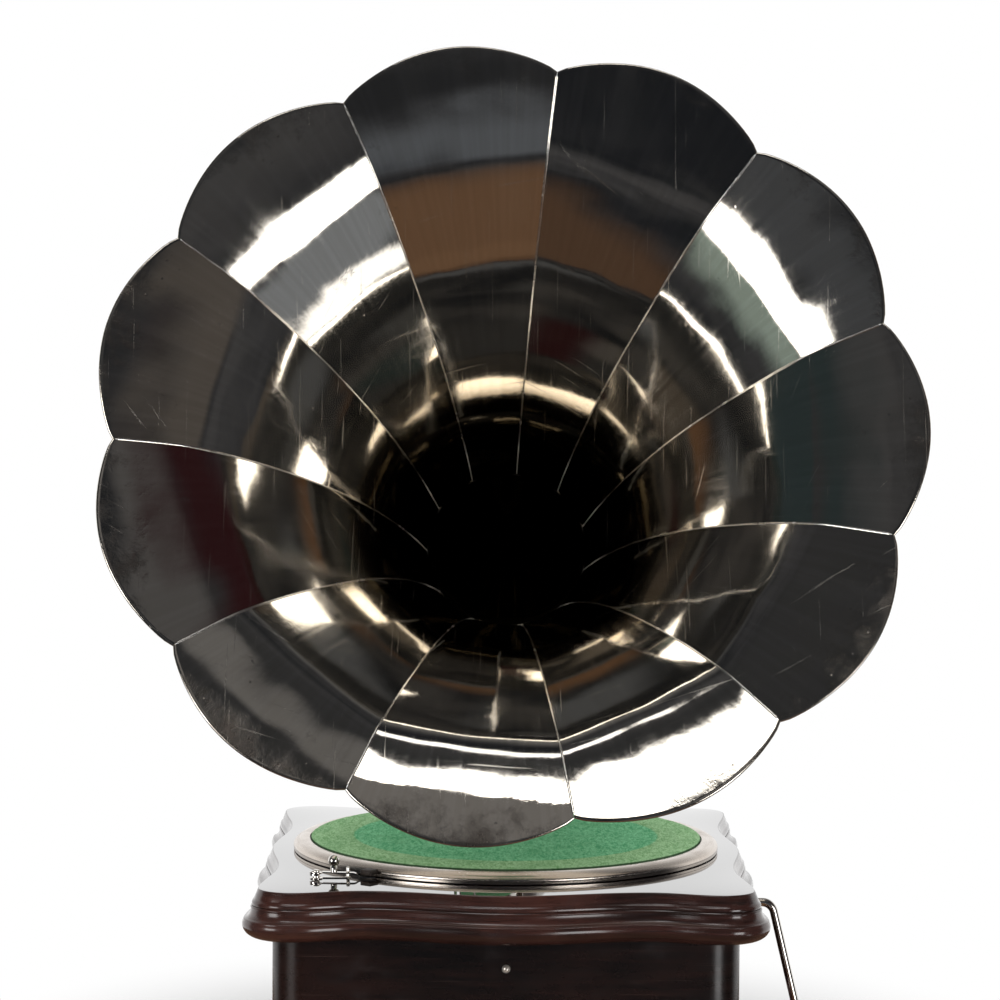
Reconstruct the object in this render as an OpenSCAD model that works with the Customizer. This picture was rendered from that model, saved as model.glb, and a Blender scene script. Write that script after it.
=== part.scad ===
// Disc phonograph with a flower horn on a back bracket.
// Origin: centre of the bottom, under the platter spindle. +Z is up and the front faces -Y.

/* [Cabinet] */
// Width of the box between its side faces
case_w = 317; // [312:1:322]
// Depth of the box between its front and back faces
case_d = 346; // [340:1:352]
// Height from the table to the top of the board
case_h = 165; // [160:1:180]
// Thickness of the box walls
wall = 12; // [9:0.5:14]
// Radius of the upright corners of the box
corner_r = 22; // [16:1:24]
// Thickness of the top board
board_t = 11; // [9:0.5:12]
// Thickness of the bottom board
floor_t = 8; // [6:0.5:9]
// How far the middle line of the mouldings stands out from the box at the sides
side_ledge = 4.8; // [4.6:0.1:6]
// How far the middle line of the mouldings stands out from the box at the front
front_ledge = 9; // [8:0.5:10]
// Bow of the moulding in the middle of the sides
side_wave = 4.2; // [2:0.1:4.4]
// Bow of the moulding in the middle of the front and back
front_wave = 8; // [4:0.5:8]
// Reach of the moulding's corner lobes on the front and back
front_lobe = 2; // [0:0.5:4]
// Height of the top moulding below the board
top_mould_h = 22.5; // [20:0.5:25]
// Height of the base moulding
base_mould_h = 34; // [30:1:38]
// Diameter of the ball stud on the front
stud_d = 4.8; // [4:0.1:6]
// Depth of the ball stud below the board's top
stud_drop = 52; // [50:0.5:56]

/* [Horn] */
// Radius of the mouth at the seams
mouth_r = 273; // [265:1:275]
// Radius that the flare runs down to
throat_r = 22.5; // [20:0.5:26]
// Length over which the flare closes in
flare_len = 163; // [158:1:168]
// Extra turn-out of the lip
lip_r = 27; // [20:1:30]
// Depth of the turned-out lip
lip_len = 17.5; // [15:0.5:20]
// Length over which the flare bends into its lip
lip_bend = 3.2; // [2:0.2:5]
// How far a petal's middle reaches past its seams
lobe = 8; // [6:1:10]
// Roundness across a petal, from 0 for flat to 1 for a full arc
petal_round = 0.3; // [0.1:0.1:0.6]
// Thickness of the horn's sheet
sheet = 0.8; // [0.6:0.1:1]
// Gap between the edges of two petals under the seam
seam_gap = 0.4; // [0.3:0.1:0.6]
// Turn of the first seam from the right-hand side
seam_turn = 17.6; // [15:0.1:20]
// Length of the petals along the horn's axis
petal_len = 285; // [280:1:290]
// Downward slope of the horn's axis, from its mouth to its neck
horn_tilt = 21.25; // [20:0.25:23]
// Bend radius of the neck
neck_bend = 95; // [90:1:100]
// Radius of the neck's lower end
neck_end_r = 24; // [22.5:0.5:24]
// Height of the ferrule between the neck and the ring
ferrule_h = 10; // [8:0.5:14]

/* [Back bracket] */
// Distance from the spindle back to the upright pivot
pivot_y = 235; // [232:1:240]
// Height of the bracket's ring above the board
ring_z = 76; // [74:1:80]
// Height of the ring
ring_h = 26; // [24:1:28]
// Outer radius of the ring
ring_r = 33; // [31:0.5:34]
// Thickness of the bracket from side to side
bracket_t = 24; // [18:1:30]

/* [Tone arm] */
// Height of the arm's axis above the board
arm_z = 50; // [49:0.5:52]
// Outer radius of the arm at the back
arm_back_r = 17; // [15:0.5:18]
// Outer radius of the arm at the front
arm_front_r = 11.5; // [11:0.5:12.5]
// Wall of the arm
arm_wall = 2; // [1.5:0.1:2.2]
// Radius of the soundbox
box_r = 25.5; // [24.5:0.5:27]
// Lean of the needle from upright
needle_lean = 19; // [15:0.5:24]

/* [Platter] */
// Outer radius of the platter's rim
platter_r = 152.5; // [150:0.5:153]
// Radius of the felt
felt_r = 140.1; // [136:0.1:141]
// Thickness of the felt
felt_t = 2; // [1.5:0.1:2.5]
// Radius of the record spindle
spindle_r = 3.6; // [3.5:0.01:3.65]
// Height of the spindle above the felt
spindle_up = 9; // [8:0.5:12]

/* [Crank] */
// Distance of the crank's shaft behind the spindle
crank_y = 40; // [38:1:42]
// Depth of the crank's shaft below the board's top
crank_drop = 46; // [45.5:0.5:48]
// Radius of the crank's rod
rod_r = 3; // [2.5:0.1:3.2]
// Throw of the crank
crank_throw = 88; // [70:1:96]
// Outward slope of the crank's arm
crank_slope = 13.5; // [10:0.5:16]
// Reach of the crank's bend beyond the side of the box
crank_reach = 37; // [34:1:40]
// Length of the crank's grip
grip_len = 82; // [70:1:95]

/* [Motor] */
// Radius of the spring barrel
barrel_r = 40; // [36:1:44]
// Length of the spring barrel
barrel_len = 36; // [30:1:38]
// Radius of the governor's weights from its shaft
weight_reach = 11; // [9:0.5:12]

/* [Fits] */
// Running clearance of shafts in their bores, on the radius
run = 0.05; // [0.03:0.01:0.08]
// Clearance between faces that turn past each other
face_gap = 0.2; // [0.2:0.05:0.3]
// Clearance of pieces that are glued, nailed or pressed together
snug = 0.02; // [0.01:0.01:0.05]

/* [Hidden] */
PETAL_NAMES = ["petal_01", "petal_02", "petal_03", "petal_04", "petal_05", "petal_06",
    "petal_07", "petal_08", "petal_09", "petal_10", "petal_11"];
$fn = 64;
petals = len(PETAL_NAMES);
gear_m = 1.5;
great_teeth = 72;
bite = 0.01;

// Colours as the photograph shows them
wood_col = [0.16, 0.07, 0.05];
nickel_col = [0.72, 0.69, 0.66];
steel_col = [0.55, 0.56, 0.58];
brass_col = [0.75, 0.6, 0.3];
felt_col = [0.3, 0.6, 0.36];
black_col = [0.08, 0.08, 0.08];

// Heights in the cabinet
board_z = case_h - board_t;
mould_half_w = case_w / 2 + side_ledge;
mould_half_d = case_d / 2 + front_ledge;
mould_r = corner_r - 4;
mould_seat = 0.3;
stud_pin_r = 1.5;
stud_pin_h = 7;
side_steps = 20;
corner_steps = 5;
side_dip = 0.52;
front_dip = 0.67;

// Platter heights
rim_z = case_h + 1.2;
pan_z = case_h + 4.5;
post_r = spindle_r + 0.4;
hub_r = 6;
hub_rise = 1.5;
pan_t = 3;
felt_z = pan_z + pan_t;
felt_top = felt_z + felt_t;
rim_lip_z = felt_top - 1.2;
rim_in_r = felt_r + 0.5;

// Horn
seam_step = 360 / petals;
along = 12;
across = 6;
lip_curl = 0.035;
neck_steps = 11;
neck_sides = 28;
neck_wall = 1.5;
neck_turn = 90 - horn_tilt;
sheet_end = petal_len - 0.3;
ring_bottom = case_h + ring_z;
ring_top = ring_bottom + ring_h;
ring_shelf = ring_bottom + 11;
bend_y = pivot_y - neck_bend;
bend_z = ring_top + ferrule_h;
mouth_y = bend_y + neck_bend * sin(horn_tilt) - petal_len * cos(horn_tilt);
mouth_z = bend_z + neck_bend * cos(horn_tilt) + petal_len * sin(horn_tilt);
arm_h = case_h + arm_z;

// Tone arm and soundbox
elbow_r = ring_bottom - face_gap - 1.8 - arm_h;
arm_back = pivot_y - elbow_r;
arm_front = 36;
sleeve_front = 22;
plug_r = 10;
goose_r = 9;
goose_bend = 16;
goose_y = 18;
box_x = -goose_bend - 2;
box_y = goose_y - goose_bend;
mica_z = 11;
bar_z = 18.5;
bar_pin_r = 1.2;
needle_r = 0.7;
needle_gap = 0.3;
needle_reach = (arm_h - felt_top - needle_gap) / cos(needle_lean);

// Crank and motor
crank_z = case_h - crank_drop;
crank_end_x = case_w / 2 + 2.5;
shaft_r = 5;
bush_r = 8;
rod_in = 17;
rod_bend_r = 9;
bend_swell = 0.12;
bend_in = 0.8;
crank_turn = 90 - crank_slope;
crank_arm = (crank_throw - 2 * rod_bend_r * (1 - cos(crank_turn))) / sin(crank_turn);
bend_x1 = case_w / 2 + crank_reach - rod_bend_r * tan(crank_turn / 2);
bend_x2 = bend_x1 + 2 * rod_bend_r * sin(crank_turn) + crank_arm * cos(crank_turn);
grip_z = crank_z - crank_throw;
grip_in = 6;
pinion_teeth = 18;
winding_teeth = 36;
inter_teeth = 16;
arbor_y = crank_y;
arbor_z = crank_z - (pinion_teeth + winding_teeth) * gear_m / 2;
inter_y = arbor_y - (great_teeth + inter_teeth) * gear_m / 2;
inter_z = arbor_z;
cheek_t = 3;
gov_wheel_r = 17;
wheel_x = gov_wheel_r + cheek_t + 6;
wheel_t = 5;
barrel_x = wheel_x + wheel_t;
barrel_end = barrel_x + barrel_len;
left_cheek_x = wheel_x - 4 - cheek_t;
right_cheek_x = barrel_end + 4;
winding_x = right_cheek_x + cheek_t + 1;
winding_t = 6;
plate_t = 3;
hang = 11;
top_plate_z = board_z - hang - plate_t;
bottom_plate_z = floor_t + 6;
cheek_z = bottom_plate_z + plate_t;
motor_y0 = inter_y - 24;
motor_y1 = arbor_y + 50;
worm_r = 7.5;
cross_r = -inter_y - worm_r - 0.4;
gov_worm_r = 5;
gov_x = -(gov_wheel_r + gov_worm_r + 0.4);
gov_z = 45;
weights_y = 31;
gov_y0 = -34;
gov_y1 = 62;
arbor_r = 5;
inter_r = 3;
gov_r = 2.5;
bolt_r = 2.5;
head_r = 5.4;
head_sink = 2;
plate_over = 20;
hanger_x = [-10, 60];
plate_x0 = -68;
plate_x1 = right_cheek_x + 20;
bolt_spots = [for (x = [plate_x0 + 10, plate_x1 - 10], y = [motor_y0 - 12, motor_y1 - 6]) [x, y]];

// Speed regulator, at the back right of the platter
knob_x = 92;
knob_y = case_d / 2 - wall - 11;
knob_pin_r = 3;
knob_foot = top_plate_z + plate_t + 3;
rocker_r = 2;
lever_y = motor_y1 + 13;
lever_z = knob_foot - face_gap - 1;
pad_travel = 2;

// Brake, at the front left
brake_x = -130;
brake_y = -129;
pad_angle = 233;
brake_foot_t = 0.8;
brake_tongue_t = 1.4;
brake_pin_r = 2.5;
lever_top = case_h + 4.6;

// Bearings and screws
foot_t = 6;
bracket_screw_x = 24;
bracket_screw_z = [case_h - 95, case_h - 59];
screw_r = 2.4;
collar_r = 20;
lock_r = 3;
lock_drop = 7;

function lerp(a, b, t) = a + (b - a) * t;

// Wave along one side, with u from -1 to 1 and its dips at -dip and dip
function wave(u, bow, end_lobe, dip) =
    abs(u) < dip ? bow * cos(180 * u / dip)
    : -bow + (end_lobe + bow) * (1 - cos(180 * (abs(u) - dip) / (1 - dip))) / 2;

// Points around a rounded rectangle, anticlockwise, with waves on its sides
function ring_points(hw, hd, r, bow_s, lobe_s, bow_f, lobe_f) =
    let(lx = hw - r, ly = hd - r)
    concat(
        [for (i = [0 : side_steps - 1]) let(u = 2 * i / side_steps - 1)
            [hw + wave(u, bow_s, lobe_s, side_dip), u * ly]],
        [for (i = [0 : corner_steps - 1]) let(a = 90 * i / corner_steps)
            [lx + (r + lobe_s) * cos(a), ly + (r + lobe_f) * sin(a)]],
        [for (i = [0 : side_steps - 1]) let(u = 1 - 2 * i / side_steps)
            [u * lx, hd + wave(u, bow_f, lobe_f, front_dip)]],
        [for (i = [0 : corner_steps - 1]) let(a = 90 + 90 * i / corner_steps)
            [-lx + (r + lobe_s) * cos(a), ly + (r + lobe_f) * sin(a)]],
        [for (i = [0 : side_steps - 1]) let(u = 1 - 2 * i / side_steps)
            [-hw - wave(u, bow_s, lobe_s, side_dip), u * ly]],
        [for (i = [0 : corner_steps - 1]) let(a = 180 + 90 * i / corner_steps)
            [-lx + (r + lobe_s) * cos(a), -ly + (r + lobe_f) * sin(a)]],
        [for (i = [0 : side_steps - 1]) let(u = 2 * i / side_steps - 1)
            [u * lx, -hd - wave(u, bow_f, lobe_f, front_dip)]],
        [for (i = [0 : corner_steps - 1]) let(a = 270 + 90 * i / corner_steps)
            [lx + (r + lobe_s) * cos(a), -ly + (r + lobe_f) * sin(a)]]);

// The wavy plan, grown by d, and the plain plan that fits round the box
function wavy(d) = ring_points(mould_half_w + d, mould_half_d + d, mould_r + d,
    side_wave, side_wave, front_wave, front_lobe);
function plain(d) = ring_points(case_w / 2 + d, case_d / 2 + d, corner_r + d, 0, 0, 0, 0);

// Faces of a ring swept round n stations, each with m profile points
function ring_faces(n, m) = [for (i = [0 : n - 1], j = [0 : m - 1], k = [0, 1])
    let(a = i * m + j, b = i * m + (j + 1) % m, e = ((i + 1) % n) * m, c = e + j, d = e + (j + 1) % m)
    k == 0 ? [a, b, c] : [b, d, c]];

// A moulding: profile points [growth, height], from the inner top, down the outside, to the inner bottom
module moulding(profile, z_in_top, z_in_bottom) {
    outer = [for (p = profile) wavy(p[0])];
    inner = plain(mould_seat);
    n = len(inner);
    m = len(profile) + 2;
    points = [for (i = [0 : n - 1]) each concat(
        [[inner[i][0], inner[i][1], z_in_top]],
        [for (j = [0 : len(profile) - 1]) [outer[j][i][0], outer[j][i][1], profile[j][1]]],
        [[inner[i][0], inner[i][1], z_in_bottom]])];
    polyhedron(points, ring_faces(n, m), convexity = 6);
}

module rounded(w, d, r) {
    union() {
        square([w - 2 * r, d], center = true);
        square([w, d - 2 * r], center = true);
        for (x = [-1, 1], y = [-1, 1])
            translate([x * (w / 2 - r), y * (d / 2 - r)])
                circle(r);
    }
}

module along_x(x, y, z) {
    translate([x, y, z])
        rotate([0, 90, 0])
            children();
}

module tube(r_out, r_in, h) {
    difference() {
        cylinder(r = r_out, h = h);
        translate([0, 0, -1])
            cylinder(r = r_in, h = h + 2);
    }
}

// Spur gear blank with straight-sided teeth and room between them
module gear_shape(teeth) {
    pitch = teeth * gear_m / 2;
    step = 360 / teeth;
    polygon([for (i = [0 : teeth - 1]) each [
        for (p = [[-0.31, -1.25], [-0.21, -0.1], [-0.09, 0.8], [0.09, 0.8], [0.21, -0.1], [0.31, -1.25]])
            let(a = (i + p[0]) * step, r = pitch + p[1] * gear_m)
            [r * cos(a), r * sin(a)]]]);
}

// Cabinet

module case_walls() {
    color(wood_col)
    difference() {
        linear_extrude(board_z)
            difference() {
                rounded(case_w, case_d, corner_r);
                rounded(case_w - 2 * wall, case_d - 2 * wall, corner_r - wall);
            }
        along_x(case_w / 2 - wall - 1, crank_y, crank_z)
            cylinder(r = bush_r, h = wall + 2);
        for (x = [-1, 1], z = bracket_screw_z)
            translate([x * bracket_screw_x, case_d / 2 + 1, z])
                rotate([90, 0, 0])
                    cylinder(r = screw_r, h = wall + 2);
        translate([0, -case_d / 2 - 1, case_h - stud_drop])
            rotate([-90, 0, 0])
                cylinder(r = stud_pin_r, h = stud_pin_h + 2);
    }
}

module bottom_board() {
    color(wood_col)
    linear_extrude(floor_t)
        rounded(case_w - 2 * wall - 2 * snug, case_d - 2 * wall - 2 * snug, corner_r - wall);
}

module base_moulding() {
    color(wood_col)
    moulding([[-0.5, base_mould_h], [0.6, base_mould_h - 4], [2.8, base_mould_h - 8.5],
        [6.8, base_mould_h - 12], [7.2, base_mould_h - 14.5], [10.2, base_mould_h - 17],
        [11.8, base_mould_h - 21], [12, 8], [11, 0]], base_mould_h, 0);
}

module top_moulding() {
    color(wood_col)
    translate([0, 0, board_z])
        moulding([[4.6, 0], [5.2, -1.2], [4.9, -2.4], [5.6, -5.6], [7.4, -8], [9.9, -9], [10, -9.9],
            [10.9, -12.2], [10.4, -15.4], [8.2, -18.8], [4.6, -21.2], [0.5, -top_mould_h]], 0, -top_mould_h);
}

module top_board() {
    layer = board_t / 4;
    color(wood_col)
    difference() {
        union()
            for (i = [0 : 3])
                translate([0, 0, board_z + i * layer])
                    linear_extrude(layer)
                        polygon(wavy([4.2, 2.2, 0.9, 0][i]));
        translate([0, 0, board_z - 1])
            cylinder(r = hub_r + 0.6, h = board_t + 2);
        for (p = bolt_spots)
            translate([p[0], p[1], board_z - 1]) {
                cylinder(r = bolt_r + 0.3, h = board_t + 2);
                translate([0, 0, board_t + 1 - head_sink])
                    cylinder(r = head_r + 0.6, h = head_sink + 2);
            }
        translate([knob_x, knob_y, board_z - 1])
            cylinder(r = knob_pin_r + run, h = board_t + 2);
    }
}

module corner_blocks() {
    size = 26;
    block_h = 40;
    in_x = case_w / 2 - wall - snug;
    in_y = case_d / 2 - wall - snug;
    bevel = corner_r - wall;
    color([0.6, 0.45, 0.3])
    for (x = [-1, 1], y = [-1, 1])
        scale([x, y, 1])
            translate([0, 0, board_z - block_h])
                linear_extrude(block_h - snug)
                    polygon([[in_x - size, in_y], [in_x - bevel, in_y], [in_x, in_y - bevel],
                        [in_x, in_y - size]]);
}

module front_stud() {
    color(nickel_col)
    translate([0, -case_d / 2, case_h - stud_drop])
        rotate([90, 0, 0]) {
            translate([0, 0, -stud_pin_h])
                cylinder(r = stud_pin_r - snug, h = stud_pin_h + 2);
            translate([0, 0, 3.2])
                sphere(d = stud_d);
            cylinder(r = 2.1, h = 1);
        }
}

module crank_escutcheon() {
    color(nickel_col)
    along_x(case_w / 2, crank_y, crank_z)
        difference() {
            union() {
                cylinder(r = bush_r + 3.5, h = 1.6);
                cylinder(r = bush_r - 0.5, h = 2.2);
                translate([0, 0, -wall])
                    cylinder(r = bush_r - snug, h = wall);
            }
            translate([0, 0, -wall - 1])
                cylinder(r = shaft_r + run, h = wall + 5);
        }
}

// Back bracket

module horn_bracket() {
    foot_w = 2 * (bracket_screw_x + 10);
    low = bracket_screw_z[0] + 2;
    high = bracket_screw_z[1] + 2;
    web_in = pivot_y + ring_r - 6;
    web_out = web_in + 14;
    foot_y = case_d / 2 + foot_t - 1;
    color(nickel_col)
    difference() {
        union() {
            translate([-foot_w / 2, case_d / 2, low - 14])
                cube([foot_w, foot_t, high - low + 24]);
            translate([-bracket_t / 2, 0, 0])
                rotate([90, 0, 90])
                    linear_extrude(bracket_t)
                        polygon([[foot_y, low], [foot_y, high], [web_in - 26, high - 4], [web_in, high + 18],
                            [web_in, ring_bottom], [web_in - 6, ring_bottom], [web_in - 6, ring_top - 4],
                            [web_out - 2, ring_top - 4], [web_out, ring_top - 10], [web_out, high - 4],
                            [web_out - 28, low]]);
            translate([0, pivot_y, ring_bottom])
                cylinder(r = ring_r, h = ring_h);
        }
        translate([0, pivot_y, ring_bottom - 1])
            cylinder(r = collar_r + run, h = ring_h + 2);
        translate([0, pivot_y, ring_shelf])
            cylinder(r = neck_end_r + run, h = ring_h);
        for (x = [-1, 1], z = bracket_screw_z)
            translate([x * bracket_screw_x, case_d / 2 - 1, z])
                rotate([-90, 0, 0])
                    cylinder(r = screw_r + snug, h = foot_t + 2);
        along_x(0, pivot_y, ring_top - lock_drop)
            cylinder(r = lock_r + run, h = ring_r + 2);
    }
}

module bracket_screws() {
    color(steel_col)
    for (x = [-1, 1], z = bracket_screw_z)
        translate([x * bracket_screw_x, case_d / 2 + foot_t, z])
            rotate([90, 0, 0]) {
                cylinder(r = screw_r - snug, h = foot_t + wall - 1);
                difference() {
                    translate([0, 0, -2])
                        cylinder(r1 = screw_r + 1, r2 = screw_r + 2.2, h = 2);
                    translate([-5, -0.5, -3])
                        cube([10, 1, 2]);
                }
            }
}

module horn_thumbscrew() {
    color(nickel_col)
    along_x(0, pivot_y, ring_top - lock_drop) {
        translate([0, 0, neck_end_r + face_gap])
            cylinder(r = lock_r, h = ring_r - neck_end_r + 4);
        translate([0, 0, ring_r + 1]) {
            cylinder(r = lock_r + 2, h = 3);
            translate([0, 0, 3])
                linear_extrude(9)
                    square([3, 20], center = true);
        }
    }
}

// Horn

// Share of the lip's turn-out that is left at distance s behind the mouth
function lip_share(s) = ln(1 + exp((lip_len - s) / lip_bend)) / ln(1 + exp(lip_len / lip_bend));

// Radius of the horn at distance s behind its mouth
function flare(s) =
    throat_r + (mouth_r - throat_r - lip_r) * exp(-s / flare_len) + lip_r * lip_share(s)
        + lip_curl * pow(min(s, 0), 2);

// Slope of the flare
function flare_slope(s) = (flare(s + 0.5) - flare(s - 0.5));

// Radius factor at fraction f across a petal, flat or round
function petal_bow(f) =
    lerp(cos(seam_step / 2) / cos((f - 0.5) * seam_step), 1, petal_round);

// Where a petal's edge lies at fraction f across it
function petal_edge(f) = -lobe * pow(sin(180 * f), 0.8);

// A point of the sheet, offset by t along the outward normal
function sheet_point(angle, k, s, t) =
    let(slope = flare_slope(s), n = sqrt(1 + slope * slope), r = flare(s) * k + t / n, z = s - t * slope / n)
    [r * cos(angle), r * sin(angle), -z];

module petal_shell(index) {
    start = seam_turn + (index - 1) * seam_step;
    rows = along + 1;
    cols = across + 1;
    sides = [for (t = [-sheet / 2, sheet / 2]) each [for (i = [0 : along]) each [for (j = [0 : across])
        let(f = j / across, s = lerp(petal_edge(f), sheet_end, pow(i / along, 1.5)),
            trim = asin(seam_gap / 2 / flare(s)), angle = lerp(start + trim, start + seam_step - trim, f))
        sheet_point(angle, petal_bow(f), s, t)]]];
    count = rows * cols;
    inner = [for (i = [0 : along - 1], j = [0 : across - 1], k = [0, 1])
        let(a = i * cols + j, b = a + 1, c = a + cols, d = c + 1)
        k == 0 ? [a, b, c] : [b, d, c]];
    outer = [for (f = inner) [f[0] + count, f[2] + count, f[1] + count]];
    ends = [for (j = [0 : across - 1], k = [0, 1], e = [0, 1])
        let(a = e == 0 ? j : along * cols + j + 1, b = e == 0 ? j + 1 : along * cols + j)
        k == 0 ? [a, a + count, b] : [b, a + count, b + count]];
    edges = [for (i = [0 : along - 1], k = [0, 1], e = [0, 1])
        let(a = e == 0 ? (i + 1) * cols : i * cols + across, b = e == 0 ? i * cols : (i + 1) * cols + across)
        k == 0 ? [a, a + count, b] : [b, a + count, b + count]];
    polyhedron(sides, concat(inner, outer, ends, edges), convexity = 6);
}

module at_mouth() {
    translate([0, mouth_y, mouth_z])
        rotate([90 - horn_tilt, 0, 0])
            children();
}

module petal(index) {
    color(nickel_col)
    at_mouth()
        petal_shell(index);
}

// Folded seams on the inside of the horn, one for each joint between petals
module seam_ribs() {
    rib_w = 1.4;
    rib_h = 1.6;
    base = sheet / 2 + 0.2;
    near = petal_bow(1 / across);
    vee = rib_w * (1 - near * cos(seam_step / across)) / (near * sin(seam_step / across));
    profile = [[-rib_w, base + vee], [0, base], [rib_w, base + vee], [rib_w / 2, base + rib_h],
        [-rib_w / 2, base + rib_h]];
    m = len(profile);
    color(nickel_col)
    at_mouth()
        for (k = [0 : petals - 1]) {
            angle = seam_turn + k * seam_step;
            points = [for (i = [0 : along]) each [for (p = profile)
                let(s = sheet_end * pow((i < along ? i : along - 0.15) / along, 1.5),
                    q = sheet_point(0, 1, s, -p[1]))
                [q[0] * cos(angle) - p[0] * sin(angle), q[0] * sin(angle) + p[0] * cos(angle), q[2]]]];
            sides = [for (i = [0 : along - 1], j = [0 : m - 1], t = [0, 1])
                let(a = i * m + j, b = i * m + (j + 1) % m, c = a + m, d = b + m)
                t == 0 ? [a, c, b] : [b, c, d]];
            ends = [for (j = [1 : m - 2], o = [0, along * m])
                o == 0 ? [0, j, j + 1] : [o, o + j + 1, o + j]];
            polyhedron(points, concat(sides, ends), convexity = 4);
        }
}

// Bead ring that covers the joint between the petals and the neck
module neck_collar() {
    r = flare(petal_len) + sheet / 2 + 0.4;
    upper = flare(petal_len - 9) + sheet / 2 + 0.6;
    color(nickel_col)
    at_mouth()
        translate([0, 0, -petal_len])
            rotate_extrude()
                polygon([[r, -6], [r, 0], [upper, 9], [upper + 1.2, 9], [r + 3.6, 5], [r + 5.2, 3],
                    [r + 5.2, -1], [r + 2.6, -3], [r + 1.6, -6]]);
}

// Radius of the neck at fraction t of its bend
function neck_r(t) = lerp(flare(petal_len) + sheet / 2, neck_end_r, pow(t, 0.85));

module horn_neck() {
    count = (neck_steps + 1) * neck_sides;
    points = [for (w = [0, neck_wall]) each [for (i = [0 : neck_steps]) each [for (j = [0 : neck_sides - 1])
        let(t = i / neck_steps, turn = lerp(neck_turn, 0, t), r = neck_r(t) - w, a = 360 * j / neck_sides,
            reach = neck_bend + r * cos(a))
        [r * sin(a), bend_y + reach * cos(turn), bend_z + reach * sin(turn)]]]];
    skin = [for (i = [0 : neck_steps - 1], j = [0 : neck_sides - 1], k = [0, 1])
        let(a = i * neck_sides + j, b = i * neck_sides + (j + 1) % neck_sides,
            c = a + neck_sides, d = b + neck_sides)
        k == 0 ? [a, b, c] : [b, d, c]];
    bore = [for (f = skin) [f[0] + count, f[2] + count, f[1] + count]];
    rims = [for (j = [0 : neck_sides - 1], k = [0, 1], e = [0, 1])
        let(o = e == 0 ? 0 : neck_steps * neck_sides, p = (j + 1) % neck_sides,
            a = o + (e == 0 ? p : j), b = o + (e == 0 ? j : p))
        k == 0 ? [a, b, a + count] : [b, b + count, a + count]];
    color(nickel_col)
    polyhedron(points, concat(skin, bore, rims), convexity = 6);
}

module horn_ferrule() {
    top = bend_z;
    color(nickel_col)
    translate([0, pivot_y, 0])
        rotate_extrude()
            polygon([[neck_end_r - 3, ring_shelf + 3], [neck_end_r, ring_shelf + 3],
                [neck_end_r, ring_top + face_gap], [neck_end_r + 5, ring_top + face_gap],
                [neck_end_r + 6, ring_top + 3], [neck_end_r + 4, ring_top + 6], [neck_end_r + 1, top],
                [neck_end_r - 3, top]]);
}

// Tone arm

module tonearm_collar() {
    color(nickel_col)
    translate([0, pivot_y, 0])
        rotate_extrude()
            polygon([[collar_r - 4, arm_h + elbow_r], [collar_r + 6, arm_h + elbow_r],
                [collar_r + 6, ring_bottom - face_gap], [collar_r, ring_bottom - face_gap],
                [collar_r, ring_shelf + face_gap], [collar_r + 2.5, ring_shelf + face_gap],
                [collar_r + 2.5, ring_shelf + 2.5], [collar_r - 4, ring_shelf + 2.5]]);
}

// Elbow and tapered length of the arm, thinner by w all round
module arm_form(w) {
    translate([0, arm_back, arm_h + elbow_r])
        rotate([0, 90, 0])
            rotate_extrude(angle = 90)
                translate([elbow_r, 0])
                    circle(arm_back_r - w);
    translate([0, arm_back, arm_h])
        rotate([90, 0, 0])
            cylinder(r1 = arm_back_r - w, r2 = arm_front_r - w, h = arm_back - arm_front);
}

module tonearm_tube() {
    color(nickel_col)
    difference() {
        union() {
            arm_form(0);
            translate([0, arm_front + 4, arm_h])
                rotate([90, 0, 0])
                    cylinder(r = arm_front_r + 1.6, h = arm_front + 4 - sleeve_front);
        }
        arm_form(arm_wall);
        translate([0, arm_front + 1, arm_h])
            rotate([90, 0, 0])
                cylinder(r = plug_r + run, h = arm_front);
    }
}

module gooseneck() {
    color(nickel_col)
    difference() {
        union() {
            translate([0, arm_front, arm_h])
                rotate([90, 0, 0])
                    cylinder(r = plug_r, h = arm_front - goose_y);
            translate([0, sleeve_front - face_gap, arm_h])
                rotate([90, 0, 0])
                    cylinder(r = plug_r + 2.6, h = sleeve_front - face_gap - goose_y);
            translate([-goose_bend, goose_y, arm_h])
                rotate([0, 0, -90])
                    rotate_extrude(angle = 90)
                        translate([goose_bend, 0])
                            circle(goose_r);
            along_x(box_x, box_y, arm_h)
                cylinder(r = goose_r, h = 2);
        }
        translate([0, arm_front + 1, arm_h])
            rotate([90, 0, 0])
                cylinder(r = goose_r - 2, h = arm_front + 1 - goose_y);
        translate([-goose_bend, goose_y, arm_h])
            rotate([0, 0, -90])
                rotate_extrude(angle = 90)
                    translate([goose_bend, 0])
                        circle(goose_r - 2);
        along_x(box_x - 1, box_y, arm_h)
            cylinder(r = goose_r - 2, h = 3);
    }
}

// The soundbox faces -X. Inside this module +X is up and +Z points out of its face.
module at_soundbox() {
    translate([box_x, box_y, arm_h])
        rotate([0, -90, 0])
            children();
}

// Along the needle: +Z runs from the soundbox's centre to the needle's tip
module along_needle() {
    at_soundbox()
        translate([0, 0, bar_z])
            rotate([0, 0, needle_lean])
                rotate([0, -90, 0])
                    children();
}

module soundbox_case() {
    color(nickel_col)
    at_soundbox()
        rotate_extrude()
            polygon([[goose_r - 2, 0], [11, 0], [11, 3], [16, 4], [box_r - 2, 4], [box_r, 6], [box_r, 14],
                [box_r - 1.6, mica_z + 4.6], [box_r - 6, mica_z + 4.6], [box_r - 6, mica_z + 2.6],
                [box_r - 3, mica_z + 2.6], [box_r - 3, mica_z - 2.1], [box_r - 6, mica_z - 2.1],
                [box_r - 6, 7], [goose_r - 2, 7]]);
}

module soundbox_gaskets() {
    color(black_col)
    at_soundbox()
        for (z = [mica_z - 2.1 + snug, mica_z + 0.5])
            translate([0, 0, z])
                tube(box_r - 3.2, box_r - 6, 2);
}

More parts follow.
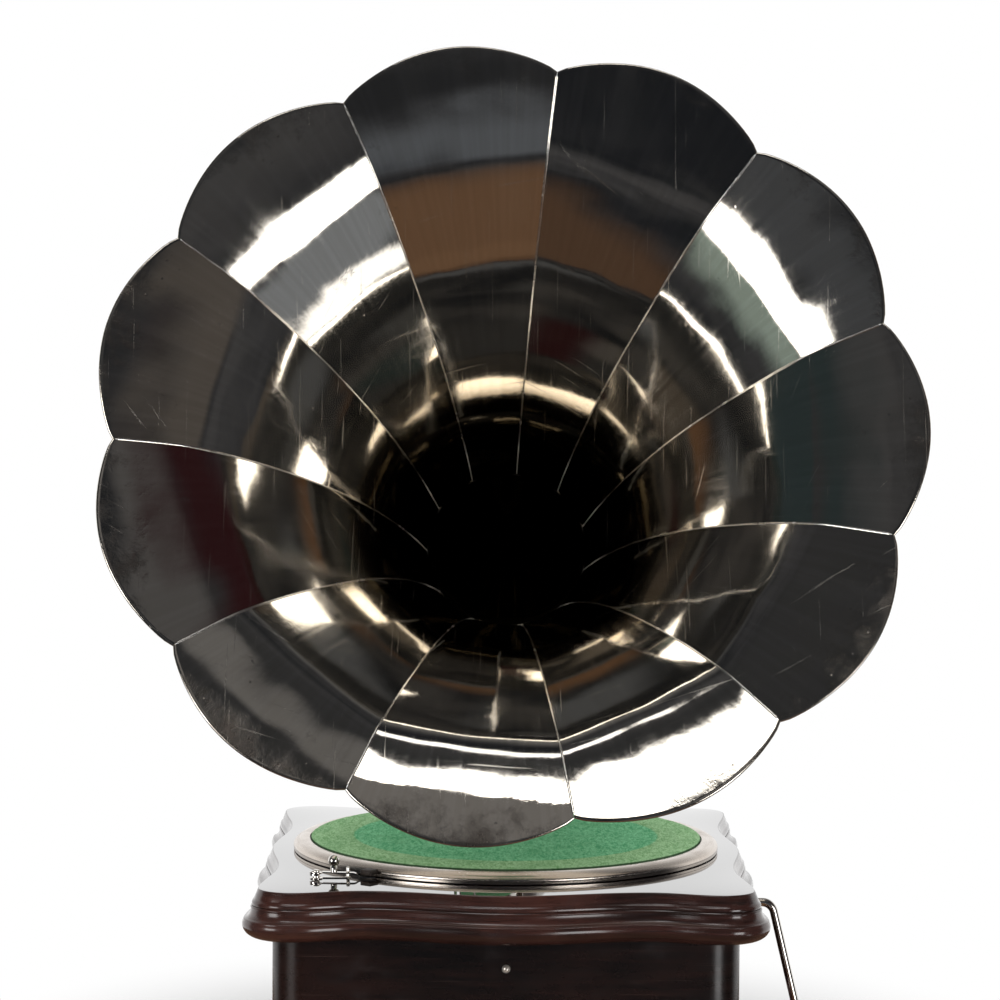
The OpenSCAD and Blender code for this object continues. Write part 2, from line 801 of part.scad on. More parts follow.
module diaphragm() {
    color([0.85, 0.82, 0.72])
    at_soundbox()
        translate([0, 0, mica_z])
            tube(box_r - 3.4, bar_pin_r + snug, 0.4);
}

module stylus_bar() {
    color(nickel_col)
    difference() {
        union() {
            at_soundbox()
                translate([0, 0, mica_z - 0.6]) {
                    cylinder(r = bar_pin_r, h = bar_z - mica_z + 1.6);
                    cylinder(r = bar_pin_r + 1, h = 0.55);
                }
            along_needle()
                translate([-1, -bar_pin_r, 0])
                    cube([2, 2 * bar_pin_r, box_r - 4]);
            along_needle()
                translate([0, 0, box_r - 5])
                    cylinder(r = 2.6, h = 12);
            along_needle()
                translate([-2.2, -6, box_r - 3.4])
                    cube([4.4, 12, 3]);
        }
        along_needle()
            translate([0, 0, box_r])
                cylinder(r = needle_r + 0.1, h = 10);
        along_needle()
            translate([0, 0, box_r + 3.5])
                rotate([0, 90, 0])
                    cylinder(r = bar_pin_r + run, h = 5);
    }
}

module needle() {
    color(steel_col)
    along_needle() {
        translate([0, 0, box_r + 0.4])
            cylinder(r = needle_r, h = needle_reach - box_r - 3.4);
        translate([0, 0, needle_reach - 3])
            cylinder(r1 = needle_r, r2 = 0.08, h = 3);
    }
}

module needle_screw() {
    color(nickel_col)
    along_needle()
        translate([0, 0, box_r + 3.5])
            rotate([0, 90, 0]) {
                translate([0, 0, needle_r + 0.25])
                    cylinder(r = bar_pin_r, h = 4);
                translate([0, 0, 3])
                    cylinder(r = 3.2, h = 3);
                translate([0, 0, 6])
                    linear_extrude(4)
                        square([5.5, 1.6], center = true);
            }
}

// Platter

module platter() {
    color(steel_col)
    translate([0, 0, pan_z])
        difference() {
            union() {
                cylinder(r = rim_in_r - 0.1, h = pan_t);
                translate([0, 0, -hub_rise])
                    cylinder(r = 14, h = 2 * hub_rise);
            }
            translate([0, 0, -3])
                cylinder(r = post_r + snug, h = pan_t + 5);
        }
}

module platter_rim() {
    steps = 7;
    reach = platter_r - rim_in_r - 1.6;
    rise = rim_lip_z - rim_z - 2;
    color(nickel_col)
    rotate_extrude($fn = 128)
        polygon(concat(
            [[rim_in_r, pan_z], [rim_in_r, rim_lip_z], [rim_in_r + 1.6, rim_lip_z]],
            [for (i = [1 : steps]) let(a = 90 * i / steps)
                [rim_in_r + 1.6 + reach * sin(a), rim_z + 2 + rise * cos(a)]],
            [[platter_r, rim_z + 1], [platter_r - 1, rim_z], [platter_r - 2.4, rim_z + 0.4],
                [platter_r - 3, pan_z]]));
}

module felt_mat() {
    color(felt_col)
    translate([0, 0, felt_z])
        tube(felt_r, post_r + 0.6, felt_t);
}

// Turned in one piece from its foot to its pin, with a smaller pin above the felt
module spindle() {
    foot = cheek_z + 11.2;
    top = felt_top + spindle_up;
    worm_rows = 7;
    boss_r = 6;
    half_wheel = 2.5;
    worm_z = inter_z - worm_rows;
    color(steel_col)
    rotate_extrude()
        polygon(concat(
            [[0, foot], [post_r, foot], [post_r, gov_z - 4], [boss_r, gov_z - 4],
                [boss_r, gov_z - half_wheel], [gov_wheel_r, gov_z - half_wheel],
                [gov_wheel_r, gov_z + half_wheel], [boss_r, gov_z + half_wheel], [boss_r, gov_z + 4],
                [post_r, gov_z + 4], [post_r, worm_z - 2]],
            [for (i = [0 : worm_rows - 1]) each
                [[worm_r - 1.4, worm_z + 2 * i + 0.2], [worm_r, worm_z + 2 * i + 0.8],
                [worm_r, worm_z + 2 * i + 1.2], [worm_r - 1.4, worm_z + 2 * i + 1.8]]],
            [[post_r, inter_z + worm_rows + 2], [post_r, case_h + 0.8], [hub_r, case_h + 0.8],
                [hub_r, pan_z - hub_rise], [post_r, pan_z - hub_rise], [post_r, felt_top],
                [spindle_r, felt_top], [spindle_r, top - 2.2], [spindle_r - 0.8, top - 0.8],
                [spindle_r - 2, top], [0, top]]));
}

// Brake

module brake_base() {
    color(nickel_col)
    difference() {
        union() {
            translate([brake_x, brake_y, case_h])
                cylinder(r = 4.5, h = brake_foot_t);
            translate([brake_x, brake_y - 1.5, case_h])
                cube([24, 7.5, brake_foot_t]);
            translate([brake_x, brake_y, case_h])
                cylinder(r = brake_pin_r, h = 6.2);
            translate([brake_x + 21.5, brake_y + 3.7, case_h])
                cylinder(r = 1.3, h = 7.5);
        }
        translate([brake_x + 14, brake_y + 2, case_h - 1])
            cylinder(r = 0.9, h = 4);
    }
}

module brake_lever() {
    color(nickel_col)
    difference() {
        union() {
            translate([brake_x, brake_y, lever_top - 1.6])
                cylinder(r = 5, h = 1.6);
            translate([brake_x, brake_y - 2, lever_top - 1.6])
                cube([29, 4, 1.6]);
            translate([brake_x + 27, brake_y - 2, case_h + 0.9])
                cube([2.2, 4, lever_top - case_h - 0.9]);
            translate([brake_x + 27, brake_y - 2, case_h + 0.9])
                cube([14, 4, brake_tongue_t]);
        }
        translate([brake_x, brake_y, case_h])
            cylinder(r = brake_pin_r + run, h = 6);
    }
}

module brake_knob() {
    color(nickel_col)
    translate([brake_x + 12, brake_y, lever_top]) {
        cylinder(r = 2.3, h = 6);
        translate([0, 0, 8])
            sphere(r = 4);
    }
}

module brake_pad() {
    color(black_col)
    rotate([0, 0, pad_angle])
        translate([platter_r + 0.3, -3.5, case_h + 0.9 + brake_tongue_t + snug])
            cube([9, 9, 3.8]);
}

// Speed regulator

module speed_knob() {
    color(nickel_col)
    translate([knob_x, knob_y, 0]) {
        translate([0, 0, knob_foot])
            cylinder(r = knob_pin_r, h = case_h + 2 - knob_foot);
        translate([0, 0, case_h + face_gap])
            cylinder(r = 2 * knob_pin_r, h = 1.4);
        translate([0, 0, case_h + face_gap + 1.4])
            cylinder(r1 = 8, r2 = 6.5, h = 5);
    }
}

// Rocking lever that carries the regulator's setting down to the governor's disc
module speed_lever() {
    arm_y = gov_y1 - 4.4 + pad_travel;
    bar = 6;
    color(steel_col)
    union() {
        along_x(gov_x - bar / 2, lever_y, lever_z)
            cylinder(r = rocker_r, h = knob_x - gov_x + bar);
        translate([knob_x - bar / 2, lever_y, lever_z - 1])
            cube([bar, knob_y - lever_y + 3, 2]);
        translate([gov_x - bar / 2, lever_y - 1, gov_z - bar / 2])
            cube([bar, 2, lever_z - gov_z + bar / 2]);
        translate([gov_x + 7, arm_y, gov_z - 2])
            cube([bar, lever_y - arm_y, 4]);
        translate([gov_x - bar / 2, lever_y - 1, gov_z - bar / 2])
            cube([bar + 10, 2, bar]);
    }
}

// Motor

module motor_top_plate() {
    color(steel_col)
    difference() {
        union() {
            translate([plate_x0, motor_y0 - plate_over, top_plate_z])
                cube([plate_x1 - plate_x0, motor_y1 - motor_y0 + plate_over + 8, plate_t]);
            for (x = hanger_x)
                translate([x, motor_y1, top_plate_z])
                    cube([4, lever_y - motor_y1 + 2 * rocker_r, lever_z - top_plate_z + 2 * rocker_r]);
        }
        along_x(hanger_x[0] - 1, lever_y, lever_z)
            cylinder(r = rocker_r + run, h = hanger_x[1] - hanger_x[0] + 10);
        translate([0, 0, top_plate_z - 1])
            cylinder(r = post_r + run, h = plate_t + 2);
        for (p = bolt_spots)
            translate([p[0], p[1], top_plate_z - 1])
                cylinder(r = bolt_r + snug, h = plate_t + 2);
    }
}

module motor_bottom_plate() {
    color(steel_col)
    difference() {
        union() {
            translate([plate_x0 + 18, motor_y0 - plate_over + 4, bottom_plate_z])
                cube([plate_x1 - plate_x0 - 18, motor_y1 - motor_y0 + plate_over, plate_t]);
            translate([0, 0, cheek_z])
                cylinder(r = post_r + 3, h = 14);
            for (y = [gov_y0, gov_y1])
                translate([gov_x - 5, y - 2, cheek_z])
                    cube([10, 4, gov_z - cheek_z + 6]);
        }
        translate([0, 0, cheek_z + 11])
            cylinder(r = post_r + run, h = 5);
        translate([gov_x, gov_y0 - 6, gov_z])
            rotate([-90, 0, 0])
                cylinder(r = gov_r + run, h = gov_y1 - gov_y0 + 12);
    }
}

module motor_cheeks() {
    color(steel_col)
    for (x = [left_cheek_x, right_cheek_x])
        difference() {
            translate([x, motor_y0, cheek_z])
                cube([cheek_t, motor_y1 - motor_y0, top_plate_z - cheek_z]);
            along_x(x - 1, arbor_y, arbor_z)
                cylinder(r = arbor_r + run, h = cheek_t + 2);
            along_x(x - 1, inter_y, inter_z)
                cylinder(r = inter_r + run, h = cheek_t + 2);
        }
}

module motor_bolts() {
    color(steel_col)
    for (p = bolt_spots)
        translate([p[0], p[1], 0]) {
            translate([0, 0, top_plate_z - 3])
                cylinder(r = bolt_r, h = case_h - head_sink - top_plate_z + 3);
            translate([0, 0, case_h - head_sink])
                cylinder(r = head_r, h = 1.6);
            translate([0, 0, top_plate_z - 4])
                cylinder(r = 5, h = 4, $fn = 6);
            translate([0, 0, top_plate_z + plate_t])
                cylinder(r = 5, h = board_z - top_plate_z - plate_t);
        }
}

module spring_barrel() {
    color(brass_col)
    along_x(0, arbor_y, arbor_z)
        difference() {
            union() {
                translate([0, 0, wheel_x])
                    linear_extrude(wheel_t)
                        gear_shape(great_teeth);
                translate([0, 0, barrel_x - bite])
                    cylinder(r = barrel_r, h = barrel_len + bite);
            }
            translate([0, 0, barrel_x + 1])
                cylinder(r = barrel_r - 2, h = barrel_len - 3);
            translate([0, 0, wheel_x - 1])
                cylinder(r = arbor_r + run, h = barrel_len + wheel_t + 2);
        }
}

// Spiral strip between the arbor and the barrel's wall
module mainspring() {
    turns = 5;
    steps = 60;
    strip = 1.1;
    r_in = arbor_r + 3.5;
    r_out = barrel_r - 2 - strip - snug;
    inner = [for (i = [0 : steps]) let(r = lerp(r_in, r_out, i / steps), a = 360 * turns * i / steps)
        [r * cos(a), r * sin(a)]];
    outer = [for (i = [steps : -1 : 0])
        let(r = lerp(r_in, r_out, i / steps) + strip, a = 360 * turns * i / steps)
        [r * cos(a), r * sin(a)]];
    color(steel_col)
    along_x(barrel_x + 4, arbor_y, arbor_z)
        linear_extrude(barrel_len - 9)
            polygon(concat(inner, outer));
}

module winding_arbor() {
    color(steel_col)
    along_x(0, arbor_y, arbor_z) {
        translate([0, 0, left_cheek_x - 2])
            cylinder(r = arbor_r, h = winding_x + winding_t + 3 - left_cheek_x);
        translate([0, 0, winding_x])
            linear_extrude(winding_t)
                rotate(180 / winding_teeth + 180)
                    gear_shape(winding_teeth);
    }
}

module intermediate_gear() {
    color(brass_col)
    along_x(0, inter_y, inter_z) {
        translate([0, 0, -6])
            cylinder(r = inter_r, h = right_cheek_x + cheek_t + 8);
        translate([0, 0, wheel_x])
            linear_extrude(wheel_t)
                rotate(90 + 180 / inter_teeth)
                    gear_shape(inter_teeth);
        translate([0, 0, -3])
            cylinder(r = cross_r, h = 6);
    }
}

module governor_shaft() {
    worm_y = -7;
    color(steel_col)
    translate([gov_x, 0, gov_z])
        rotate([-90, 0, 0]) {
            translate([0, 0, gov_y0 - 4])
                cylinder(r = gov_r, h = gov_y1 - gov_y0 + 8);
            translate([0, 0, worm_y - 1])
                cylinder(r = gov_worm_r - 1.2, h = 16);
            for (i = [0 : 6])
                translate([0, 0, worm_y + 2 * i])
                    cylinder(r1 = gov_worm_r - 1.2, r2 = gov_worm_r, h = 1.4);
            translate([0, 0, gov_y0 + 2 + face_gap])
                cylinder(r = 4.5, h = 4);
            translate([0, 0, worm_y + 16])
                cylinder(r = 4.5, h = 4);
        }
}

module at_weights() {
    translate([gov_x, weights_y, gov_z])
        for (k = [0 : 2])
            rotate([0, 120 * k, 0])
                children();
}

module governor_weights() {
    color(brass_col)
    at_weights()
        translate([0, 0, weight_reach])
            rotate([90, 0, 0])
                translate([0, 0, -4])
                    cylinder(r = 4, h = 8);
}

module governor_springs() {
    half = 17.5;
    color(steel_col)
    at_weights()
        translate([-2, 0, 0])
            rotate([90, 0, 90])
                linear_extrude(4)
                    polygon([[-half, 4.6], [-half + 5, 4.6], [-4, weight_reach - 4.9],
                        [4, weight_reach - 4.9], [half - 5, 4.6], [half, 4.6], [half, 5.2], [half - 5, 5.2],
                        [4, weight_reach - 4.2], [-4, weight_reach - 4.2], [-half + 5, 5.2], [-half, 5.2]]);
}

module governor_disc() {
    color(brass_col)
    translate([gov_x, gov_y1 - 4.4, gov_z])
        rotate([90, 0, 0]) {
            tube(15, gov_r + snug, 1.6);
            tube(4.5, gov_r + snug, 12);
        }
}

// Crank

module crank_shaft() {
    color(steel_col)
    along_x(0, crank_y, crank_z)
        difference() {
            union() {
                translate([0, 0, winding_x - 1])
                    cylinder(r = shaft_r, h = crank_end_x - winding_x + 1);
                translate([0, 0, winding_x])
                    linear_extrude(winding_t)
                        gear_shape(pinion_teeth);
            }
            translate([0, 0, crank_end_x - rod_in - 1])
                cylinder(r = rod_r + snug, h = rod_in + 3);
        }
}

// Quarter-like bend of the rod in the plane of the crank, from angle a0 over a turn
module rod_bend(x, z, a0, turn) {
    translate([x, crank_y, z])
        rotate([90, 0, 0])
            rotate([0, 0, a0])
                rotate_extrude(angle = turn)
                    translate([rod_bend_r, 0])
                        circle(rod_r + bend_swell);
}

module crank_rod() {
    color(nickel_col)
    union() {
        along_x(crank_end_x - rod_in, crank_y, crank_z)
            cylinder(r = rod_r, h = bend_x1 - crank_end_x + rod_in + bend_in);
        rod_bend(bend_x1, crank_z - rod_bend_r, 90 - crank_turn, crank_turn);
        translate([bend_x1 + rod_bend_r * sin(crank_turn), crank_y,
            crank_z - rod_bend_r * (1 - cos(crank_turn))])
            rotate([0, 180 - crank_slope, 0])
                translate([0, 0, -bend_in])
                    cylinder(r = rod_r, h = crank_arm + 2 * bend_in);
        rod_bend(bend_x2, grip_z + rod_bend_r, 270 - crank_turn, crank_turn);
        along_x(bend_x2 - bend_in, crank_y, grip_z)
            cylinder(r = rod_r, h = grip_in + grip_len + 2 + bend_in);
        along_x(bend_x2 + grip_in + grip_len + face_gap, crank_y, grip_z)
            cylinder(r = rod_r + 1.4, h = 2);
    }
}

module crank_grip() {
    steps = 10;
    color([0.12, 0.06, 0.04])
    along_x(bend_x2 + grip_in, crank_y, grip_z)
        rotate_extrude()
            polygon(concat([[rod_r + run, 0], [7.5, 0], [8, 2]],
                [for (i = [0 : steps]) let(t = i / steps)
                    [8 + 4.5 * sin(160 * t + 5), 3 + t * (grip_len - 6)]],
                [[8, grip_len], [rod_r + run, grip_len]]));
}

case_walls();
bottom_board();
base_moulding();
top_moulding();
top_board();
corner_blocks();
front_stud();
crank_escutcheon();
horn_bracket();
bracket_screws();
horn_thumbscrew();
for (i = [1 : petals])
    petal(i);
seam_ribs();
neck_collar();
horn_neck();
horn_ferrule();
tonearm_collar();
tonearm_tube();
gooseneck();
soundbox_case();
soundbox_gaskets();
diaphragm();
stylus_bar();
needle();
needle_screw();
platter();
platter_rim();
felt_mat();
spindle();
brake_base();
brake_lever();
brake_knob();
brake_pad();
speed_knob();
speed_lever();
motor_top_plate();
motor_bottom_plate();
motor_cheeks();
motor_bolts();
spring_barrel();
mainspring();
winding_arbor();
intermediate_gear();
governor_shaft();
governor_weights();
governor_springs();
governor_disc();
crank_shaft();
crank_rod();
crank_grip();
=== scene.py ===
# Disc phonograph with a flower horn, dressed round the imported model.
# Metres throughout. The front faces -Y and the table is at height 0.
from collections import Counter
from math import asin, atan2, cos, exp, hypot, log, pi, radians, sin, sqrt, tan

import bmesh
import bpy
from mathutils import Matrix, Vector, noise


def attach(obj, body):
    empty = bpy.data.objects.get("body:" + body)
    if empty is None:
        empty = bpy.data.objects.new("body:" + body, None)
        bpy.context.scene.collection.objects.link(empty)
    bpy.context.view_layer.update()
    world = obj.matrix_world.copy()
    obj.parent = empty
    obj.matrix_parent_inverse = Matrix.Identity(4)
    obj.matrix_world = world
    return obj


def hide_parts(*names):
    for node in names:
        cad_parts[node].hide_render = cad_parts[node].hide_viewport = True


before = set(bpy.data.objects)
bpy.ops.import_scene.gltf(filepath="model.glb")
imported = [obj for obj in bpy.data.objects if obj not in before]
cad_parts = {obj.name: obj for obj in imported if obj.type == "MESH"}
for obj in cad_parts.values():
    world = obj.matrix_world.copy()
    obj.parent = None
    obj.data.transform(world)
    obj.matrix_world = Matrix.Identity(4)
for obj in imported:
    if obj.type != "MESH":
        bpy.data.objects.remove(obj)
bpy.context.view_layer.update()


# Camera, lamps and floor

view = {
    "place": (-0.01246, -2.50811, 0.59652),
    "yaw": 0.00266, "pitch": 0.07181, "roll": 0.00675,
    "lens": 126.52, "sensor": 36.0,
}


def placeCamera():
    data = bpy.data.cameras.new("photoCamera")
    data.lens, data.sensor_width, data.sensor_fit = view["lens"], view["sensor"], "HORIZONTAL"
    data.clip_start, data.clip_end = 0.05, 60.0
    yaw, pitch, roll = view["yaw"], view["pitch"], view["roll"]
    forward = Vector((sin(yaw) * cos(pitch), cos(yaw) * cos(pitch), -sin(pitch)))
    level = Vector((cos(yaw), -sin(yaw), 0))
    upright = level.cross(forward)
    across = cos(roll) * level + sin(roll) * upright
    upward = -sin(roll) * level + cos(roll) * upright
    camera = bpy.data.objects.new("photoCamera", data)
    turn = Matrix((across, upward, -forward)).transposed().to_4x4()
    camera.matrix_world = Matrix.Translation(view["place"]) @ turn
    bpy.context.scene.collection.objects.link(camera)
    bpy.context.scene.camera = camera


placeCamera()
bpy.context.scene.view_settings.view_transform = "Standard"
print("camera placed")


# Shader maths: a socket that can be added, multiplied and so on

class Wire:
    def __init__(self, finish, socket):
        self.finish, self.socket = finish, socket

    def maths(self, operation, second=0.0, flip=False, clamp=False):
        first, second = (second, self) if flip else (self, second)
        settings = {"operation": operation, "use_clamp": clamp}
        return self.finish.value("ShaderNodeMath", settings, {0: first, 1: second})

    def __add__(self, other):
        return self.maths("ADD", other)

    def __radd__(self, other):
        return self.maths("ADD", other, True)

    def __sub__(self, other):
        return self.maths("SUBTRACT", other)

    def __rsub__(self, other):
        return self.maths("SUBTRACT", other, True)

    def __mul__(self, other):
        return self.maths("MULTIPLY", other)

    def __rmul__(self, other):
        return self.maths("MULTIPLY", other, True)

    def __truediv__(self, other):
        return self.maths("DIVIDE", other)

    def __pow__(self, other):
        return self.maths("POWER", other)

    def clamped(self):
        return self.maths("ADD", clamp=True)


class Finish:
    def __init__(self, name, tree=None):
        if tree is None:
            self.material = bpy.data.materials.new(name)
            self.material.use_nodes = True
            tree = self.material.node_tree
        tree.nodes.clear()
        self.tree = tree

    def node(self, kind, settings=None, sockets=None):
        made = self.tree.nodes.new(kind)
        for key, value in (settings or {}).items():
            setattr(made, key, value)
        for key, value in (sockets or {}).items():
            if isinstance(value, Wire):
                self.tree.links.new(value.socket, made.inputs[key])
            else:
                made.inputs[key].default_value = value
        return made

    def value(self, kind, settings=None, sockets=None, output=0):
        return Wire(self, self.node(kind, settings, sockets).outputs[output])

    def coords(self, kind="Object", scale=(1, 1, 1), place=(0, 0, 0), turn=(0, 0, 0)):
        found = self.value("ShaderNodeTexCoord", output=kind)
        return self.value("ShaderNodeMapping", {}, {"Vector": found, "Scale": scale, "Location": place,
                                                    "Rotation": turn})

    def axes(self, vector):
        parts = self.node("ShaderNodeSeparateXYZ", {}, {0: vector})
        return [Wire(self, parts.outputs[k]) for k in range(3)]

    def rays(self, *kinds):
        path = self.node("ShaderNodeLightPath")
        return [Wire(self, path.outputs[f"Is {kind} Ray"]) for kind in kinds]

    def stored(self, name):
        # a number kept on the points of the mesh
        return self.value("ShaderNodeAttribute", {"attribute_name": name}, output="Fac")

    def noise(self, vector, scale, detail=3.0, roughness=0.5, distortion=0.0):
        return self.value("ShaderNodeTexNoise", {}, {"Vector": vector, "Scale": scale, "Detail": detail,
                                                     "Roughness": roughness, "Distortion": distortion})

    def span(self, value, low, high, floor=0.0, top=1.0):
        return self.value("ShaderNodeMapRange", {"interpolation_type": "SMOOTHSTEP"},
                          {0: value, 1: low, 2: high, 3: floor, 4: top})

    def mix(self, amount, first, second):
        first, second = [c if isinstance(c, Wire) else (*c, 1.0) for c in (first, second)]
        return self.value("ShaderNodeMix", {"data_type": "RGBA"}, {0: amount, 6: first, 7: second}, output=2)

    def bump(self, height, distance, strength=1.0, normal=None):
        sockets = {"Height": height, "Distance": distance, "Strength": strength}
        if normal is not None:
            sockets["Normal"] = normal
        return self.value("ShaderNodeBump", {}, sockets)

    def surface(self, **sockets):
        shader = self.value("ShaderNodeBsdfPrincipled", {}, {
            key.replace("_", " "): (*v, 1.0) if isinstance(v, tuple) and len(v) == 3 else v
            for key, v in sockets.items()})
        self.node("ShaderNodeOutputMaterial", {}, {"Surface": shader})
        return self.material


# What polished metal shows: white behind, a dim room in front, its softboxes and a wooden floor

studio = {
    "fill": 0.88,  # evenness of the light on unpolished surfaces
    "wall": (1.15, 1.15, 1.15),  # the white wall behind
    "wallFrom": (0.15, 0.42),  # how far back a ray points where the wall begins
    "crown": 0.25, "crownFrom": (0.25, 0.75),  # how bright the wall is high up, and where it fades
    "room": [(0.012, 0.014, 0.018), (0.058, 0.060, 0.066)], "roomSpread": (0.36, 0.68),
    "target": (0, -0.05, 0.35),  # where the lamps point
}

sights = [  # turn and rise from the object, half width and height, softness, roll, colour
    # the wooden floor
    (20, -49, 24, 15, 14, 0, (0.136, 0.079, 0.047)),
    (-36, -47, 15, 10, 9, 0, (0.080, 0.048, 0.031)),
    # pale and dark things about the room
    (50, 19, 18, 9, 8, 0, (0.085, 0.078, 0.074)),
    (2, -9, 10, 13, 10, 0, (0.095, 0.108, 0.130)),
    (-70, 26, 24, 14, 16, 0, (0.024, 0.036, 0.040)),
    (3, 10, 10, 5, 6, 0, (0.020, 0.022, 0.026)),
    (-28, 19, 9, 5, 6, 0, (0.060, 0.066, 0.076)),
    (0, 66, 60, 16, 14, 0, (0.032, 0.034, 0.038)),
    (40, 46, 7, 5, 6, 0, (0.085, 0.085, 0.090)),
    (68, 40, 27, 6, 8, 0, (0.025, 0.008, 0.010)),
    (6, 57, 7, 17, 6, 0, (0.185, 0.182, 0.186)),
    (42, 61, 7, 2.5, 4, 0, (0.15, 0.15, 0.155)),
    (55, -21, 9, 7, 5, 0, (0.22, 0.24, 0.27)),
    (-61, -7, 7, 6, 5, 0, (0.26, 0.33, 0.31)),
    # softboxes and strips of light
    (-46, 5, 11.5, 13, 3, 0, (6.0, 6.0, 6.0)),
    (37, -5, 10.5, 12.5, 2.5, 0, (6.0, 6.0, 6.0)),
    (65, -28, 5, 4, 2, 0, (2.0, 2.0, 2.0)),
    (-10.2, 71.0, 15, 3.0, 1.2, 21, (4.0, 4.0, 4.0)),
    (-23, 65.5, 7, 4.5, 2, 0, (4.0, 4.0, 4.0)),
    (30, 88.5, 17, 2.2, 1.5, -30, (2.2, 2.2, 2.2)),
]

lamps = [  # name, turn, height angle, distance, width, height, brightness
    ("leftLamp", -52, 26, 2.2, 0.9, 0.9, 2.6),
    ("rightLamp", 46, 24, 2.2, 0.9, 0.9, 4.0),
    ("topLamp", -8, 66, 1.8, 1.2, 0.9, 1.1),
]


def towards(turn, rise):
    turn, rise = radians(turn), radians(rise)
    return Vector((sin(turn) * cos(rise), -cos(turn) * cos(rise), sin(rise)))


def lightStudio():
    world = bpy.data.worlds.new("studio")
    world.use_nodes = True
    bpy.context.scene.world = world
    sky = Finish("studio", world.node_tree)
    ray = sky.value("ShaderNodeTexCoord", output="Generated")
    depth, height = sky.axes(ray)[1:]

    def along(axis):
        return sky.value("ShaderNodeVectorMath", {"operation": "DOT_PRODUCT"}, {0: ray, 1: axis},
                         output="Value")

    high = sky.span(height, *studio["crownFrom"], 1.0, studio["crown"])
    wall = sky.mix(high, (0, 0, 0), studio["wall"])
    clutter = sky.noise(ray, 2.4, 4.0, 0.6, 0.4)
    room = sky.mix(sky.span(clutter, *studio["roomSpread"]), *studio["room"])
    shown = sky.mix(sky.span(depth, *studio["wallFrom"]), room, wall)
    for turn, rise, halfWidth, halfHeight, soft, roll, colour in sights:
        ahead = towards(turn, rise)
        level = Matrix.Rotation(radians(roll), 3, ahead) @ Vector((cos(radians(turn)), sin(radians(turn)), 0))
        near = along(ahead)
        across = (along(level) / near).maths("ABSOLUTE")
        upward = (along(level.cross(ahead)) / near).maths("ABSOLUTE")
        edge = tan(radians(soft)) / 2
        wide, tall = tan(radians(halfWidth)), tan(radians(halfHeight))
        glow = sky.span(across, wide + edge, wide - edge) * sky.span(upward, tall + edge, tall - edge)
        # its far side, behind the object, shows nothing of it
        glow = glow * sky.span(near, 0.1, 0.2)
        shown = sky.mix(glow, shown, colour)
    camera, glossy, through = sky.rays("Camera", "Glossy", "Transmission")
    seen = sky.mix((glossy + through).clamped(), (studio["fill"],) * 3, shown)
    final = sky.mix(camera, seen, (1.0, 1.0, 1.0))
    light = sky.value("ShaderNodeBackground", {}, {"Color": final, "Strength": 1.0})
    sky.node("ShaderNodeOutputWorld", {}, {"Surface": light})

    for name, turn, rise, distance, width, tall, brightness in lamps:
        data = bpy.data.lights.new(name, "AREA")
        data.shape, data.size, data.size_y = "RECTANGLE", width, tall
        data.energy = brightness * width * tall * pi
        lamp = bpy.data.objects.new(name, data)
        away = towards(turn, rise)
        lamp.location = Vector(studio["target"]) + away * distance
        lamp.rotation_euler = away.to_track_quat("Z", "Y").to_euler()
        lamp.visible_camera = False
        lamp.visible_glossy = False
        bpy.context.scene.collection.objects.link(lamp)


floorDisc = {
    "radius": 0.46, "middle": (0, 0.05, -0.0006),
    "fades": (0.24, 0.44),  # where its shadow begins and ends to fade into the white
    "colour": (0.93, 0.93, 0.93),
    "seen": (0.150, 0.088, 0.052),  # the wooden floor that polished metal shows
}


def layFloor():
    bm = bmesh.new()
    bmesh.ops.create_circle(bm, cap_ends=True, segments=96, radius=floorDisc["radius"])
    bmesh.ops.translate(bm, verts=bm.verts, vec=floorDisc["middle"])
    mesh = bpy.data.meshes.new("floor")
    bm.to_mesh(mesh)
    bm.free()
    floor = bpy.data.objects.new("floor", mesh)
    bpy.context.scene.collection.objects.link(floor)
    pale = Finish("paleFloor")
    spot = pale.coords(place=(0, -floorDisc["middle"][1], 0))
    reach = pale.value("ShaderNodeVectorMath", {"operation": "LENGTH"}, {0: spot}, output="Value")
    camera, glossy = pale.rays("Camera", "Glossy")
    rim = pale.span(reach, *floorDisc["fades"])
    matt = pale.value("ShaderNodeBsdfDiffuse", {}, {"Color": (*floorDisc["colour"], 1.0)})
    glow = pale.value("ShaderNodeEmission", {}, {"Strength": 1.0})
    clear = pale.value("ShaderNodeBsdfTransparent")
    edge = pale.value("ShaderNodeMixShader", {}, {0: camera, 1: clear, 2: glow})
    both = pale.value("ShaderNodeMixShader", {}, {0: rim, 1: matt, 2: edge})
    planks = pale.value("ShaderNodeEmission", {}, {"Color": (*floorDisc["seen"], 1.0), "Strength": 1.0})
    told = pale.value("ShaderNodeMixShader", {}, {0: glossy, 1: both, 2: planks})
    pale.node("ShaderNodeOutputMaterial", {}, {"Surface": told})
    mesh.materials.append(pale.material)


lightStudio()
layFloor()
print("studio lit")


# Materials

